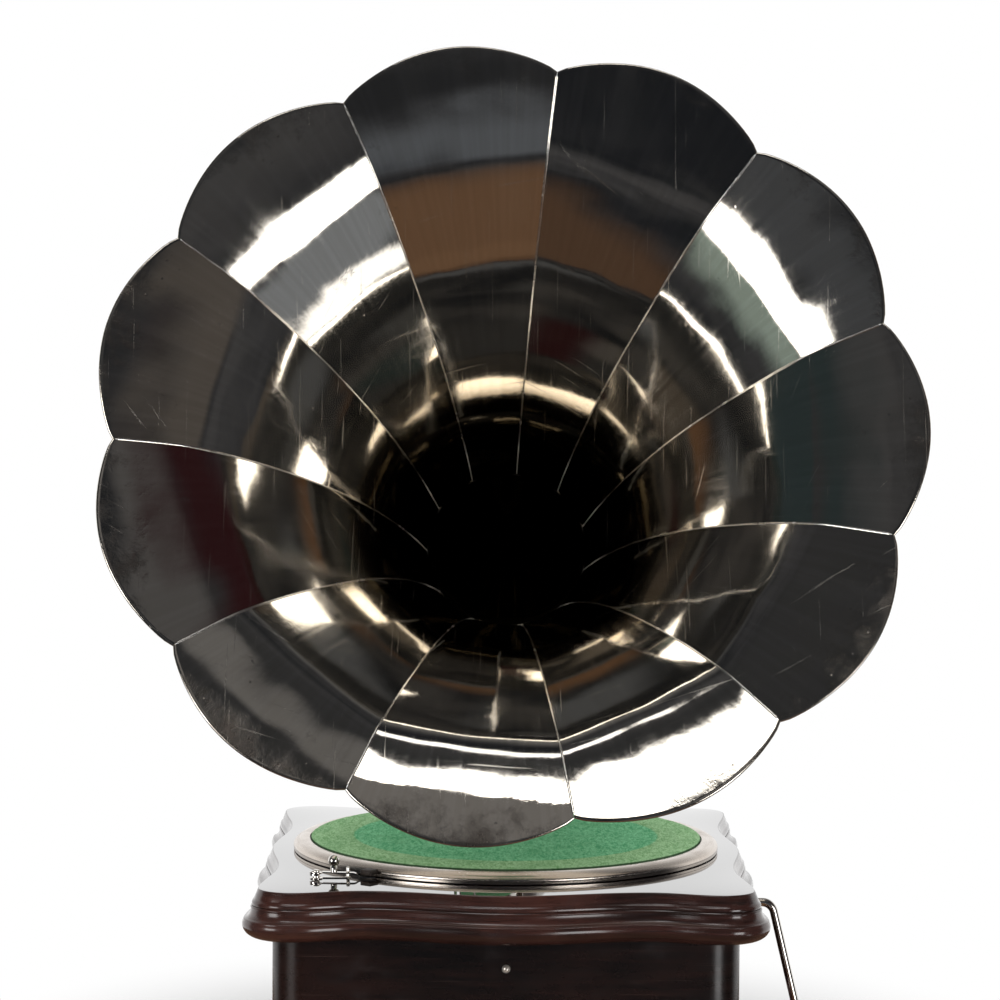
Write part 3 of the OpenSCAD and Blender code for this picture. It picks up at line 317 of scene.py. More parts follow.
def hornNickel():
    coat = Finish("hornNickel")
    place = coat.coords()
    along = coat.coords("UV", scale=(26, 2.2, 1))
    cloud = coat.noise(place, 9.0, 4.0, 0.6)
    haze = coat.noise(along, 1.0, 4.0, 0.6)
    fine = coat.noise(place, 420.0, 3.0, 0.6)
    lip = coat.stored("tarnish")
    patches = coat.noise(place, 46.0, 6.0, 0.68)
    worn = coat.span(patches + lip * 0.5, 0.62, 0.98)
    cells = coat.value("ShaderNodeTexVoronoi", {}, {"Vector": place, "Scale": 110.0, "Randomness": 1.0})
    spots = coat.span(cells, 0.13, 0.04) * coat.span(cloud + lip * 0.3, 0.56, 0.72)
    scratches = coat.noise(coat.coords(scale=(900, 9, 14), turn=(0.3, 0.5, 0.8)), 1.0, 2.0, 0.4)
    crossing = coat.noise(coat.coords(scale=(11, 760, 16), turn=(0.9, 0.2, 0.4)), 1.0, 2.0, 0.4)
    film = coat.span(coat.noise(place, 5.5, 5.0, 0.62, 0.8), 0.50, 0.72)
    marks = (coat.span(scratches, 0.69, 0.75) + coat.span(crossing, 0.70, 0.76)).clamped()
    stain = (worn * 0.85 + spots * 0.7).clamped()
    soot = coat.stored("soot")
    silver = coat.mix(coat.span(haze, 0.35, 0.7), (0.66, 0.61, 0.53), (0.71, 0.66, 0.585))
    warm = coat.mix(coat.span(cloud, 0.5, 0.8) * 0.3, silver, (0.62, 0.535, 0.43))
    aged = coat.mix(stain, warm, (0.20, 0.165, 0.14))
    # soot and painted shade: the sheet darkens to near black deep in the throat, where little light reaches
    colour = coat.mix(soot, aged, (0.085, 0.072, 0.050))
    rough = coat.span(haze, 0.3, 0.8, 0.035, 0.075) + stain * 0.26 + coat.span(fine, 0.5, 0.8) * 0.03
    rough = rough + marks * 0.16 + coat.span(cloud, 0.45, 0.75) * 0.03 + film * 0.07
    soft = coat.bump(coat.noise(place, 15.0, 2.0, 0.4), 0.0010, 0.30)
    small = coat.bump(coat.noise(place, 60.0, 3.0, 0.5), 0.00025, 0.18, soft)
    pits = coat.bump(stain * -1.0, 0.0002, 0.5, small)
    return coat.surface(Metallic=1.0, Base_Color=colour, Roughness=rough, Normal=pits)


def seamNickel():
    coat = Finish("seamNickel")
    place = coat.coords()
    soot = coat.stored("soot")
    cloud = coat.span(coat.noise(place, 60.0, 4.0, 0.6), 0.45, 0.75)
    bright = coat.mix(cloud * 0.5, (0.86, 0.82, 0.76), (0.60, 0.52, 0.43))
    # soot and painted shade: deep in the throat the seams darken and lose their shine
    colour = coat.mix(soot, bright, (0.30, 0.29, 0.25))
    rough = 0.20 + cloud * 0.12
    dents = coat.bump(coat.noise(place, 140.0, 3.0, 0.5), 0.0002, 0.3)
    metal = coat.span(soot, 0.0, 0.8, 1.0, 0.35)
    return coat.surface(Metallic=metal, Base_Color=colour, Roughness=rough, Normal=dents)


def smallNickel():
    coat = Finish("smallNickel")
    place = coat.coords()
    cloud = coat.noise(place, 55.0, 4.0, 0.6)
    fine = coat.noise(place, 900.0, 3.0, 0.6)
    stain = coat.span(cloud, 0.56, 0.74)
    colour = coat.mix(stain * 0.6, (0.67, 0.635, 0.59), (0.36, 0.30, 0.245))
    rough = 0.10 + stain * 0.16 + coat.span(fine, 0.45, 0.8) * 0.08
    dents = coat.bump(coat.noise(place, 160.0, 3.0, 0.5), 0.0002, 0.25)
    return coat.surface(Metallic=1.0, Base_Color=colour, Roughness=rough, Normal=dents)


def castNickel():
    coat = Finish("castNickel")
    place = coat.coords()
    grain = coat.noise(place, 650.0, 5.0, 0.65)
    cloud = coat.noise(place, 30.0, 4.0, 0.6)
    stain = coat.span(cloud, 0.5, 0.75)
    colour = coat.mix(stain, (0.55, 0.53, 0.50), (0.30, 0.265, 0.225))
    rough = 0.27 + stain * 0.2
    skin = coat.bump(grain, 0.0005, 0.4)
    return coat.surface(Metallic=1.0, Base_Color=colour, Roughness=rough, Normal=skin)


def rimNickel():
    coat = Finish("rimNickel")
    place = coat.coords()
    x, y, z = coat.axes(place)
    reach = (x * x + y * y) ** 0.5
    turning = coat.value("ShaderNodeCombineXYZ", {}, {0: reach * 9000.0, 1: z * 9000.0})
    rings = coat.noise(turning, 1.0, 3.0, 0.7)
    cloud = coat.noise(place, 28.0, 4.0, 0.6)
    drag = coat.noise(coat.coords(scale=(40, 40, 900)), 1.0, 3.0, 0.6)
    silver = coat.mix(coat.span(rings, 0.3, 0.7), (0.50, 0.435, 0.375), (0.64, 0.575, 0.515))
    colour = coat.mix(coat.span(cloud, 0.5, 0.8) * 0.5, silver, (0.34, 0.26, 0.20))
    satin = coat.span(drag, 0.3, 0.75, 0.20, 0.29) + coat.span(cloud, 0.5, 0.8) * 0.08
    # the crown is satin and the skirt below it polished
    crown = coat.span(z, 0.1677, 0.1684)
    polish = 0.22
    rough = polish + (satin - polish) * crown
    turned = coat.bump(rings * crown, 0.00004, 0.4)
    return coat.surface(Metallic=1.0, Base_Color=colour, Roughness=rough, Normal=turned)


def darkMahogany(name, grainScale, gloss, tones, coat, relief, shine=0.5):
    # grainScale stretches the grain along the boards; tones run from deep to ruddy
    wood = Finish(name)
    place = wood.coords()
    grain = wood.noise(wood.coords(scale=grainScale), 1.0, 6.0, 0.62, 0.6)
    pores = wood.noise(wood.coords(scale=[k * 6 for k in grainScale]), 1.0, 2.0, 0.5)
    cloud = wood.noise(place, 9.0, 4.0, 0.6)
    haze = wood.noise(wood.coords(scale=(1, 1, 1.8)), 34.0, 4.0, 0.65)
    scratches = wood.noise(wood.coords(scale=(9, 9, 1300), turn=(0.02, 0.03, 0)), 1.0, 2.0, 0.4)
    deep = wood.mix(wood.span(grain, 0.34, 0.68), tones[0], tones[1])
    ruddy = wood.mix(wood.span(cloud, 0.46, 0.76) * 0.6, deep, tones[2])
    dark = wood.mix(wood.span(pores, 0.60, 0.75) * 0.6, ruddy, (0.0022, 0.0015, 0.0015))
    dusty = wood.mix(wood.span(haze, 0.54, 0.80) * 0.3, dark, (0.030, 0.028, 0.030))
    marks = wood.span(scratches, 0.68, 0.74)
    colour = wood.mix(marks * 0.4, dusty, (0.060, 0.034, 0.026))
    rough = gloss + wood.span(haze, 0.42, 0.80) * (gloss * 0.5) + marks * (gloss * 0.4)
    ripple = wood.bump(wood.noise(place, 26.0, 2.0, 0.5), relief * 6, 0.10)
    pore = wood.bump(pores, relief, 0.35, ripple)
    return wood.surface(Base_Color=colour, Roughness=rough, Normal=pore, IOR=1.5, Specular_IOR_Level=shine,
                        Coat_Weight=coat, Coat_Roughness=gloss * 0.6)


def greenFelt():
    cloth = Finish("greenFelt")
    place = cloth.coords()
    x, y, z = cloth.axes(place)
    fibres = cloth.noise(place, 420.0, 5.0, 0.75, 1.6)
    strands = cloth.noise(cloth.coords(scale=(430, 120, 1)), 1.0, 5.0, 0.7, 1.8)
    clumps = cloth.noise(cloth.coords(scale=(230, 75, 1), place=(3, 1, 0)), 1.0, 4.0, 0.7, 1.4)
    cloud = cloth.noise(place, 36.0, 4.0, 0.6)
    reach = (x * x + y * y) ** 0.5 + (strands - 0.5) * 0.0030
    inner = cloth.span(reach, 0.1102, 0.1080)
    light = cloth.span(fibres * 0.25 + strands * 0.40 + clumps * 0.35, 0.37, 0.62)
    faded = cloth.mix(light, (0.180, 0.410, 0.165), (0.520, 0.800, 0.470))
    fresh = cloth.mix(light, (0.070, 0.370, 0.160), (0.330, 0.760, 0.440))
    colour = cloth.mix(inner, faded, fresh)
    lint = cloth.span(strands, 0.66, 0.74) * cloth.span(clumps, 0.45, 0.60)
    dusty = cloth.mix(lint * 0.6, colour, (0.72, 0.90, 0.60))
    shaded = cloth.mix(cloth.span(cloud, 0.42, 0.75, 0.0, 0.25), dusty, (0.10, 0.32, 0.13))
    # painted shade: the felt's cut side below its top is darkened almost to black, as if in shadow
    edge = cloth.span(z, 0.17435, 0.17395)
    cut = cloth.mix(edge * 0.85, shaded, (0.006, 0.018, 0.008))
    nap = cloth.bump(strands * 0.45 + clumps * 0.25 + fibres * 0.3, 0.0018, 0.8)
    return cloth.surface(Base_Color=cut, Roughness=0.98, Normal=nap, Specular_IOR_Level=0.0)


def plainFinish(name, first, second, scale, rough, metallic=0.0, bumpDepth=0.0002, stretch=(1, 1, 1), **more):
    plain = Finish(name)
    grain = plain.noise(plain.coords(scale=stretch), scale, 5.0, 0.6)
    fine = plain.noise(plain.coords(), scale * 6, 3.0, 0.6)
    colour = plain.mix(plain.span(grain, 0.35, 0.68), first, second)
    spread = plain.span(fine, 0.3, 0.75, rough * 0.8, rough * 1.25)
    skin = plain.bump(grain * 0.6 + fine * 0.4, bumpDepth, 0.5)
    return plain.surface(Base_Color=colour, Roughness=spread, Metallic=metallic, Normal=skin, **more)


woodTones = {
    "case": [(0.0034, 0.0019, 0.0015), (0.0115, 0.0046, 0.0032), (0.022, 0.0076, 0.0050)],
    "moulded": [(0.0125, 0.0056, 0.0046), (0.0360, 0.0130, 0.0100), (0.072, 0.0235, 0.0160)],
}
finishes = {
    "mahogany": darkMahogany("caseMahogany", (14, 14, 210), 0.27, woodTones["case"], 0.08, 0.00003, 0.32),
    "moulded_mahogany": darkMahogany("mouldedMahogany", (14, 14, 210), 0.20, woodTones["moulded"], 0.45,
                                     0.00002, 0.42),
    "board_mahogany": darkMahogany("boardMahogany", (14, 230, 40), 0.03, woodTones["case"], 1.0, 0.000001),
    "plain_wood": plainFinish("plainWood", (0.30, 0.17, 0.085), (0.42, 0.27, 0.15), 1.0, 0.6,
                              stretch=(18, 190, 190)),
    "nickel": smallNickel(),
    "horn_sheet": hornNickel(),
    "seam_bead": seamNickel(),
    "dull_nickel": plainFinish("dullNickel", (0.78, 0.74, 0.68), (0.55, 0.49, 0.42), 300.0, 0.34, 0.75),
    "cast_bracket": castNickel(),
    "steel": plainFinish("steel", (0.42, 0.42, 0.43), (0.30, 0.295, 0.29), 120.0, 0.3, 1.0),
    "pan": plainFinish("panSteel", (0.20, 0.195, 0.19), (0.12, 0.11, 0.105), 60.0, 0.42, 1.0),
    "brushed_rim": rimNickel(),
    "felt": greenFelt(),
    "brass": plainFinish("brass", (0.60, 0.43, 0.17), (0.42, 0.28, 0.10), 90.0, 0.26, 1.0),
    "rubber": plainFinish("agedRubber", (0.045, 0.035, 0.03), (0.09, 0.065, 0.05), 300.0, 0.7),
    "mica": plainFinish("mica", (0.55, 0.49, 0.36), (0.68, 0.62, 0.49), 140.0, 0.12, 0.0, 0.00005,
                        Coat_Weight=0.6),
    "leather": plainFinish("brakeLeather", (0.018, 0.013, 0.011), (0.045, 0.03, 0.022), 700.0, 0.62),
    "grip_wood": plainFinish("ebonisedWood", (0.010, 0.006, 0.005), (0.030, 0.014, 0.010), 1.0, 0.16,
                             stretch=(30, 260, 260), Coat_Weight=0.5),
}
print("materials ready")


# Mesh helpers

def pieceName(node):
    first, *others = node.split("_")
    return first + "".join(word.capitalize() for word in others)


def finishPiece(bm, node, body, slot, sharp=38, material=None, outward=True, name=None):
    # a piece in place of one node, and named after it
    name = name or pieceName(node)
    if outward:
        bmesh.ops.recalc_face_normals(bm, faces=bm.faces)
    mesh = bpy.data.meshes.new(name)
    bm.to_mesh(mesh)
    bm.free()
    mesh.shade_smooth()
    mesh.set_sharp_from_angle(angle=radians(sharp))
    piece = bpy.data.objects.new(name, mesh)
    bpy.context.scene.collection.objects.link(piece)
    mesh.materials.append(finishes[material or slot])
    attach(piece, body)
    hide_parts(node)
    return piece


def formGrid(bm, across, along, place, closed=False):
    # a flat grid of the piece's own u and v, moved point by point to its shape
    bm.loops.layers.uv.verify()
    made = bmesh.ops.create_grid(bm, x_segments=across, y_segments=along, size=0.5, calc_uvs=True)["verts"]
    for vert in made:
        vert.co = place(vert.co.x + 0.5, vert.co.y + 0.5)
    if closed:
        bmesh.ops.remove_doubles(bm, verts=made, dist=1e-6)
    return made


def turnShape(bm, outline, matrix=None, steps=96):
    # outline of (radius, height) pairs, spun about the upright axis
    verts = [bm.verts.new((r, 0, h)) for r, h in outline]
    edges = [bm.edges.new(pair) for pair in zip(verts, verts[1:])]
    if outline[0][0] > 1e-6 or outline[-1][0] > 1e-6:
        edges.append(bm.edges.new((verts[-1], verts[0])))
    before = set(bm.verts) - set(verts)
    bmesh.ops.spin(bm, geom=verts + edges, cent=(0, 0, 0), axis=(0, 0, 1), angle=2 * pi, steps=steps,
                   use_merge=True)
    spun = [v for v in bm.verts if v not in before]
    bmesh.ops.remove_doubles(bm, verts=spun, dist=1e-6)
    spun = [v for v in bm.verts if v not in before]
    if matrix is not None:
        bmesh.ops.transform(bm, matrix=matrix, verts=spun)
    return spun


outlines = {  # (radius, height) in mm, some from a corner of their part; armTip is (place on Y, growth)
    "collar": [(3.4, 5.2), (4.8, 3.6), (5.2, 1), (4.8, -1.6), (2.6, -3), (1.6, -6)],
    "ferrule": [(21, 255), (24, 255), (24, 267.2), (29, 267.2), (30, 270), (28, 273), (25, 277),
                (21, 277)],
    "skirt": [(-0.2, 0.6), (-0.3, 0.2), (-1.2, 0), (-2.4, 0.6)],
    "feltHole": [(0.6, -2), (0.6, -0.3), (0.9, 0)],
    "feltEdge": [(-1.1, 0), (-0.3, -0.4), (0, -1), (0, -2)],
    "brakeWasher": [(2.6, -0.1), (4, -0.1), (4, 0.9), (2.6, 0.9)],
    "brakePost": [(0, 0), (4.5, 0), (4.5, 0.8), (2.3, 0.8), (2.3, 5.8), (1.6, 6.2), (0, 6.2)],
    "brakeStop": [(0, 0), (2.2, 0), (2.2, 0.7), (1.3, 1), (1.3, 7.2), (0.9, 7.5), (0, 7.5)],
    "knobFoot": [(0, 0), (2.3, 0), (2.3, 3.8), (1.9, 4.3), (1.8, 4.8)],
    "studFoot": [(0, -7), (1.48, -7), (1.48, 0), (2.1, 0), (2.1, 0.7), (1.4, 1.3)],
    "crankWasher": [(0, 0), (4.4, 0), (4.4, 2), (0, 2)],
    "gripHead": [(6.6, 0), (7.5, 0.6), (7.8, 1.5), (8, 2.2), (7.6, 2.8)],
    "armTip": [(40.2, 0.2), (40, 1.2), (39.4, 1.6), (37.6, 1.6), (37, 1.1), (36.2, 1.1), (35.6, 1.6),
               (25, 1.6), (22.6, 1.6), (22.1, 1.3), (22, 0.8)],
    "soundbox": [(7, 0), (11, 0), (11, 3), (16, 4), (23.5, 4), (25.5, 6), (25.5, 8.5), (25, 9), (25, 10.5),
                 (25.5, 11), (25.5, 14), (23.9, 15.6), (19.5, 15.6), (19.5, 13.6), (22.5, 13.6), (22.5, 8.9),
                 (19.5, 8.9), (19.5, 7), (7, 7)],
}


def metres(name, radius=0.0, height=0.0):
    return [(radius + across / 1000, height + up / 1000) for across, up in outlines[name]]


def rounded(outline, radius, steps=3):
    # the same outline with each corner cut round by a small arc
    soft = []
    count = len(outline)
    for i, (r, h) in enumerate(outline):
        here = Vector((r, h))
        if r < 1e-6:
            soft.append((r, h))
            continue
        back, ahead = Vector(outline[i - 1]) - here, Vector(outline[(i + 1) % count]) - here
        cut = min(radius, back.length * 0.45, ahead.length * 0.45)
        start, end = here + back.normalized() * cut, here + ahead.normalized() * cut
        for k in range(steps + 1):
            t = k / steps
            soft.append(tuple(start * (1 - t) ** 2 + here * 2 * t * (1 - t) + end * t * t))
    return soft


def ballTop(radius, middle):
    # the end of an outline whose pin carries a ball
    turns = (pi * (0.2 + 0.8 * k / 18) for k in range(18))
    return [(radius * sin(a), middle - radius * cos(a)) for a in turns] + [(0.0, middle + radius)]


def turnPiece(node, body, slot, outline, matrix=None, steps=96, material=None):
    bm = bmesh.new()
    turnShape(bm, outline, matrix, steps)
    finishPiece(bm, node, body, slot, 40, material)


def facing(origin, axis):
    return Matrix.Translation(origin) @ Vector(axis).to_track_quat("Z", "Y").to_matrix().to_4x4()


def softened(node, body, slot, width):
    # a copy of a CAD solid with its edges rounded off
    bm = bmesh.new()
    bm.from_mesh(bpy.data.objects[node].data)
    bmesh.ops.remove_doubles(bm, verts=bm.verts, dist=2e-6)
    bmesh.ops.dissolve_limit(bm, angle_limit=radians(0.6), verts=bm.verts, edges=bm.edges)
    edges = [e for e in bm.edges if len(e.link_faces) == 2 and e.calc_face_angle(0) > radians(32)]
    bmesh.ops.bevel(bm, geom=edges, offset=width, offset_type="OFFSET", segments=2, profile=0.5,
                    affect="EDGES", clamp_overlap=True, material=-1)
    finishPiece(bm, node, body, slot, 30)


# Cabinet: the wavy plan of the mouldings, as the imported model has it

cabinet = {
    "halfW": 0.1585, "halfD": 0.173, "corner": 0.022, "boardZ": 0.154, "top": 0.165, "wall": 0.012,
    "mouldHalfW": 0.1633, "mouldHalfD": 0.182, "mouldR": 0.018,
    "sideWave": 0.0042, "frontWave": 0.008, "frontLobe": 0.002, "sideDip": 0.52, "frontDip": 0.67,
    "sideSteps": 64, "cornerSteps": 12, "seat": 0.0003,
    "outerRows": (0.0, 0.052, 0.104, 0.154), "innerRows": (0.154, 0.077, 0.0), "studZ": 0.113,
}
planSteps = 4 * (cabinet["sideSteps"] + cabinet["cornerSteps"])


def waveAt(u, bow, lobe, dip):
    if abs(u) < dip:
        return bow * cos(pi * u / dip)
    return -bow + (lobe + bow) * (1 - cos(pi * (abs(u) - dip) / (1 - dip))) / 2


def planPoint(t, grow, wavy):
    # a point of the plan at fraction t round it: four sides and four corners
    c = cabinet
    if wavy:
        hw, hd, r = c["mouldHalfW"] + grow, c["mouldHalfD"] + grow, c["mouldR"] + grow
        bows = (c["sideWave"], c["sideWave"]), (c["frontWave"], c["frontLobe"])
    else:
        hw, hd, r = c["halfW"] + grow, c["halfD"] + grow, c["corner"] + grow
        bows = (0, 0), (0, 0)
    side, corner = c["sideSteps"], c["cornerSteps"]
    place = (t * planSteps) % planSteps
    quarter, rest = int(place // (side + corner)), place % (side + corner)
    onSide = quarter % 2 == 0
    reach, run = (hw, hd - r) if onSide else (hd, hw - r)
    bow, lobe = bows[0] if onSide else bows[1]
    dip = c["sideDip"] if onSide else c["frontDip"]
    if rest < side:
        u = 2 * rest / side - 1
        out, over = reach + waveAt(u, bow, lobe, dip), u * run
    else:
        angle = (rest - side) / corner * pi / 2
        nextLobe = bows[1][1] if onSide else bows[0][1]
        out, over = (reach - r) + (r + lobe) * cos(angle), run + (r + nextLobe) * sin(angle)
    return [(out, over), (-over, out), (-out, -over), (over, -out)][quarter]


def sweepPlan(bm, rows, closed=True):
    # rows of (growth, height, wavy), swept round the plan and joined into a ring
    count = len(rows) if closed else len(rows) - 1

    def place(u, v):
        grow, height, wavy = rows[round(v * count) % len(rows)]
        x, y = planPoint(u % 1.0, grow, wavy)
        return Vector((x, y, height))
    formGrid(bm, planSteps, count, place, closed=True)


def eased(points, steps):
    # a smooth run through the profile's corners
    smooth = []
    for i in range(len(points) - 1):
        p0, p1, p2, p3 = (Vector(points[min(max(k, 0), len(points) - 1)]) for k in (i - 1, i, i + 1, i + 2))
        for k in range(steps):
            t = k / steps
            smooth.append(tuple(0.5 * ((2 * p1) + (p2 - p0) * t + (2 * p0 - 5 * p1 + 4 * p2 - p3) * t * t
                                       + (3 * p1 - p0 - 3 * p2 + p3) * t ** 3)))
    smooth.append(tuple(points[-1]))
    return smooth


mouldings = {  # growth beyond the plan and height, in mm
    "top": [(4.4, -0.2), (5.1, -1.2), (4.9, -2.4), (5.6, -5.6), (7.4, -8.0), (9.5, -8.9), (10.0, -9.5),
            (10.0, -9.9), (10.8, -12.2), (10.4, -15.4), (8.2, -18.8), (4.6, -21.2), (0.6, -22.4)],
    "base": [(-0.4, 34), (0.6, 30), (2.8, 25.5), (6.6, 22.2), (7.2, 21.4), (7.2, 19.5), (10.1, 17.2),
             (11.7, 13), (12.0, 8), (11.6, 3.2), (11, 0)],
    "boardEdge": [(3.9, -11.0), (4.2, -10.6), (4.1, -8.6), (2.7, -7.0), (2.2, -5.6), (1.6, -3.8),
                  (0.9, -2.2), (0.35, -0.7), (-0.3, -0.1), (-0.8, 0)],
}


def profileRows(profile, zero):
    return [(grow / 1000, zero + height / 1000, True) for grow, height in eased(profile, 3)]


def makeMoulding(node, profile, zero, ends):
    first, last = [(cabinet["seat"], height, False) for height in ends]
    bm = bmesh.new()
    sweepPlan(bm, [first] + profileRows(profile, zero) + [last])
    finishPiece(bm, node, "cabinet", "mahogany", 34, "moulded_mahogany")


def makeBoard():
    bm = bmesh.new()
    sweepPlan(bm, profileRows(mouldings["boardEdge"], cabinet["top"]), closed=False)
    bmesh.ops.holes_fill(bm, edges=[e for e in bm.edges if e.is_boundary], sides=0)
    bmesh.ops.triangulate(bm, faces=[f for f in bm.faces if len(f.verts) > 4])
    # whole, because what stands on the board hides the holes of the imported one
    board = finishPiece(bm, "top_board", "cabinet", "mahogany", 30, "board_mahogany")
    board.data.materials.append(finishes["moulded_mahogany"])
    for face in board.data.polygons:
        level = face.normal.z >= 0.95
        face.material_index = 0 if level else 1


def makeWalls():
    rows = [(0, height, False) for height in cabinet["outerRows"]]
    rows += [(-cabinet["wall"], height, False) for height in cabinet["innerRows"]]
    bm = bmesh.new()
    sweepPlan(bm, rows)
    finishPiece(bm, "case_walls", "cabinet", "mahogany", 34)


makeMoulding("top_moulding", mouldings["top"], cabinet["boardZ"], (0.1538, 0.1315))
makeMoulding("base_moulding", mouldings["base"], 0.0, (0.034, 0.0))
makeBoard()
makeWalls()
print("cabinet built")


# Horn

horn = {
    "petals": 11, "seamTurn": 17.6, "tilt": 21.25, "mouth": (0, -0.09119, 0.46884),
    "mouthR": 0.273, "throatR": 0.0225, "flareLen": 0.163, "length": 0.285, "end": 0.2847,
    "lipR": 0.027, "lipLen": 0.0175, "lipBend": 0.0032, "lipCurl": 35,
    "lobe": 0.0078, "round": 0.3,  # how far a petal's lip bulges out, and how round it is across
    "sheet": 0.0008, "gap": 0.0004,
    "bead": 0.0009, "roll": 290,  # radius and turn of the rolled lip
    "across": 28, "along": 72, "curl": 7,  # faces of a petal, and of its rolled lip
    "dent": 0.0008, "calm": 0.09,  # depth of the dents, and how soon they die away
    "droopFrom": 0.0022, "stained": 0.0085,  # the depths of a lip's droop and tarnish
    # the next two set where the painted shade and soot of the throat begin, and over how long they grow
    "sootAndShadeFrom": 0.215, "sootAndShadeOver": 0.065,  # where the throat darkens, and over how long
}
seam = {
    "half": 0.95, "base": 0.32, "rise": 0.60,  # its outline, in mm
    "start": 0.0012, "share": 0.995, "rows": 56,
    "least": 0.58, "more": 0.42, "thins": 0.07,  # its width further down the horn
    "wobble": 0.00018,
}
petalTurn = 2 * pi / horn["petals"]
toMouth = Matrix.Translation(horn["mouth"]) @ Matrix.Rotation(radians(90 - horn["tilt"]), 4, "X")
fromMouth = toMouth.inverted()


def flare(s):
    h = horn
    share = log(1 + exp((h["lipLen"] - s) / h["lipBend"])) / log(1 + exp(h["lipLen"] / h["lipBend"]))
    return (h["throatR"] + (h["mouthR"] - h["throatR"] - h["lipR"]) * exp(-s / h["flareLen"])
            + h["lipR"] * share + h["lipCurl"] * min(s, 0) ** 2)


# soot and painted shade deep in the throat: 0 above it, rising to 1 further down
def sootAndShadeAt(s):
    t = min(1.0, max(0.0, (s - horn["sootAndShadeFrom"]) / horn["sootAndShadeOver"]))
    return t * t * (3 - 2 * t)


def flareSlope(s):
    return (flare(s + 0.0005) - flare(s - 0.0005)) / 0.001


def bowAt(f):
    # how far a petal's chord draws its sheet in from the round
    flat = cos(petalTurn / 2) / cos((f - 0.5) * petalTurn)
    return flat + (1 - flat) * horn["round"]


def sheetPoint(angle, bow, s, lift=0.0):
    # a point of the sheet at depth s, lifted outwards off it
    slope = flareSlope(s)
    n = sqrt(1 + slope * slope)
    r, z = flare(s) * bow + lift / n, s - lift * slope / n
    return Vector((r * cos(angle), r * sin(angle), -z))


def petalRow(v):
    # rows gather towards the lip
    return v ** 1.5


# how tarnished each petal's lip is, and how far the lip droops back
petalWear = [0.35, 0.25, 0.30, 0.30, 0.45, 0.40, 0.60, 1.05, 0.30, 0.60, 0.45]
petalDroop = [0.02, 0.0, 0.02, 0.04, 0.0, 0.05, 0.06, 0.20, 0.0, 0.05, 0.03]


def lobeShape(f, power):
    return sin(pi * f) ** power if 0 < f < 1 else 0.0


def dentAt(point, index):
    # broad dents with finer ones on them, different on each petal
    broad = noise.noise(point * 13 + Vector((0, 0, index * 7.3)))
    return broad + 0.4 * noise.noise(point * 34 + Vector((5, 0, index * 3.1)))


def makePetal(index):
    h = horn
    start = radians(h["seamTurn"]) + index * petalTurn
    bead, curl, along = h["bead"], h["curl"], h["along"]
    rows = along + curl
    lipSlope = flareSlope(0.0)
    lipIn = (bead + h["sheet"] / 2) / sqrt(1 + lipSlope ** 2)
    bm = bmesh.new()
    stain = bm.verts.layers.float.new("tarnish")
    sootAndShadeLayer = bm.verts.layers.float.new("soot")

    def place(f, v):
        edge = lipIn - h["lobe"] * lobeShape(f, 0.8)
        row = round(v * rows)
        s = edge + (h["end"] - edge) * petalRow(max(row - curl, 0) / along)
        trim = asin(h["gap"] / 2 / flare(s))
        angle = start + trim + (petalTurn - 2 * trim) * f
        point = sheetPoint(angle, bowAt(f), s)
        fade = min(1.0, (row - curl) / 6) * exp(-(max(s, 0) / h["calm"]) ** 2) if row > curl else 0.0
        dent = dentAt(point, index) * h["dent"] * lobeShape(f, 0.5) * fade
        droop = petalDroop[index] * max(0.0, h["droopFrom"] - s) * sqrt(1 + lipSlope ** 2)
        point = sheetPoint(angle, bowAt(f), s, dent + droop)
        if row < curl:
            # the lip is rolled back over a wire
            phi = (curl - row) / curl * radians(h["roll"])
            flat = sheetPoint(angle, bowAt(f), s)
            out = (sheetPoint(angle, bowAt(f), s - 0.001) - flat).normalized()
            back = (sheetPoint(angle, bowAt(f), s, 0.001) - flat).normalized()
            point = point + out * bead * sin(phi) + back * bead * (1 - cos(phi))
        return toMouth @ point

    made = formGrid(bm, h["across"], rows, place)
    for vert in made:
        local = fromMouth @ vert.co
        depth = -local.z + h["lobe"]
        spot = noise.noise(vert.co * 21 + Vector((index * 5.0, 0, 0))) * 0.5 + 0.5
        vert[stain] = petalWear[index] * min(1.0, max(0.0, 1.35 - depth / h["stained"])) * (0.5 + spot)
        # how far down the throat each point is darkened, with soot and painted shade
        vert[sootAndShadeLayer] = sootAndShadeAt(-local.z)
    piece = finishPiece(bm, f"petal_{index + 1:02d}", "horn", "horn_sheet", 180, outward=False)
    # a sharp border keeps the sheet's thickness from bending its shading
    uses = Counter(key for face in piece.data.polygons for key in face.edge_keys)
    for edge in piece.data.edges:
        edge.use_edge_sharp = uses[edge.key] == 1
    wall = piece.modifiers.new("sheet", "SOLIDIFY")
    wall.thickness, wall.offset, wall.use_even_offset = h["sheet"], 0.0, True


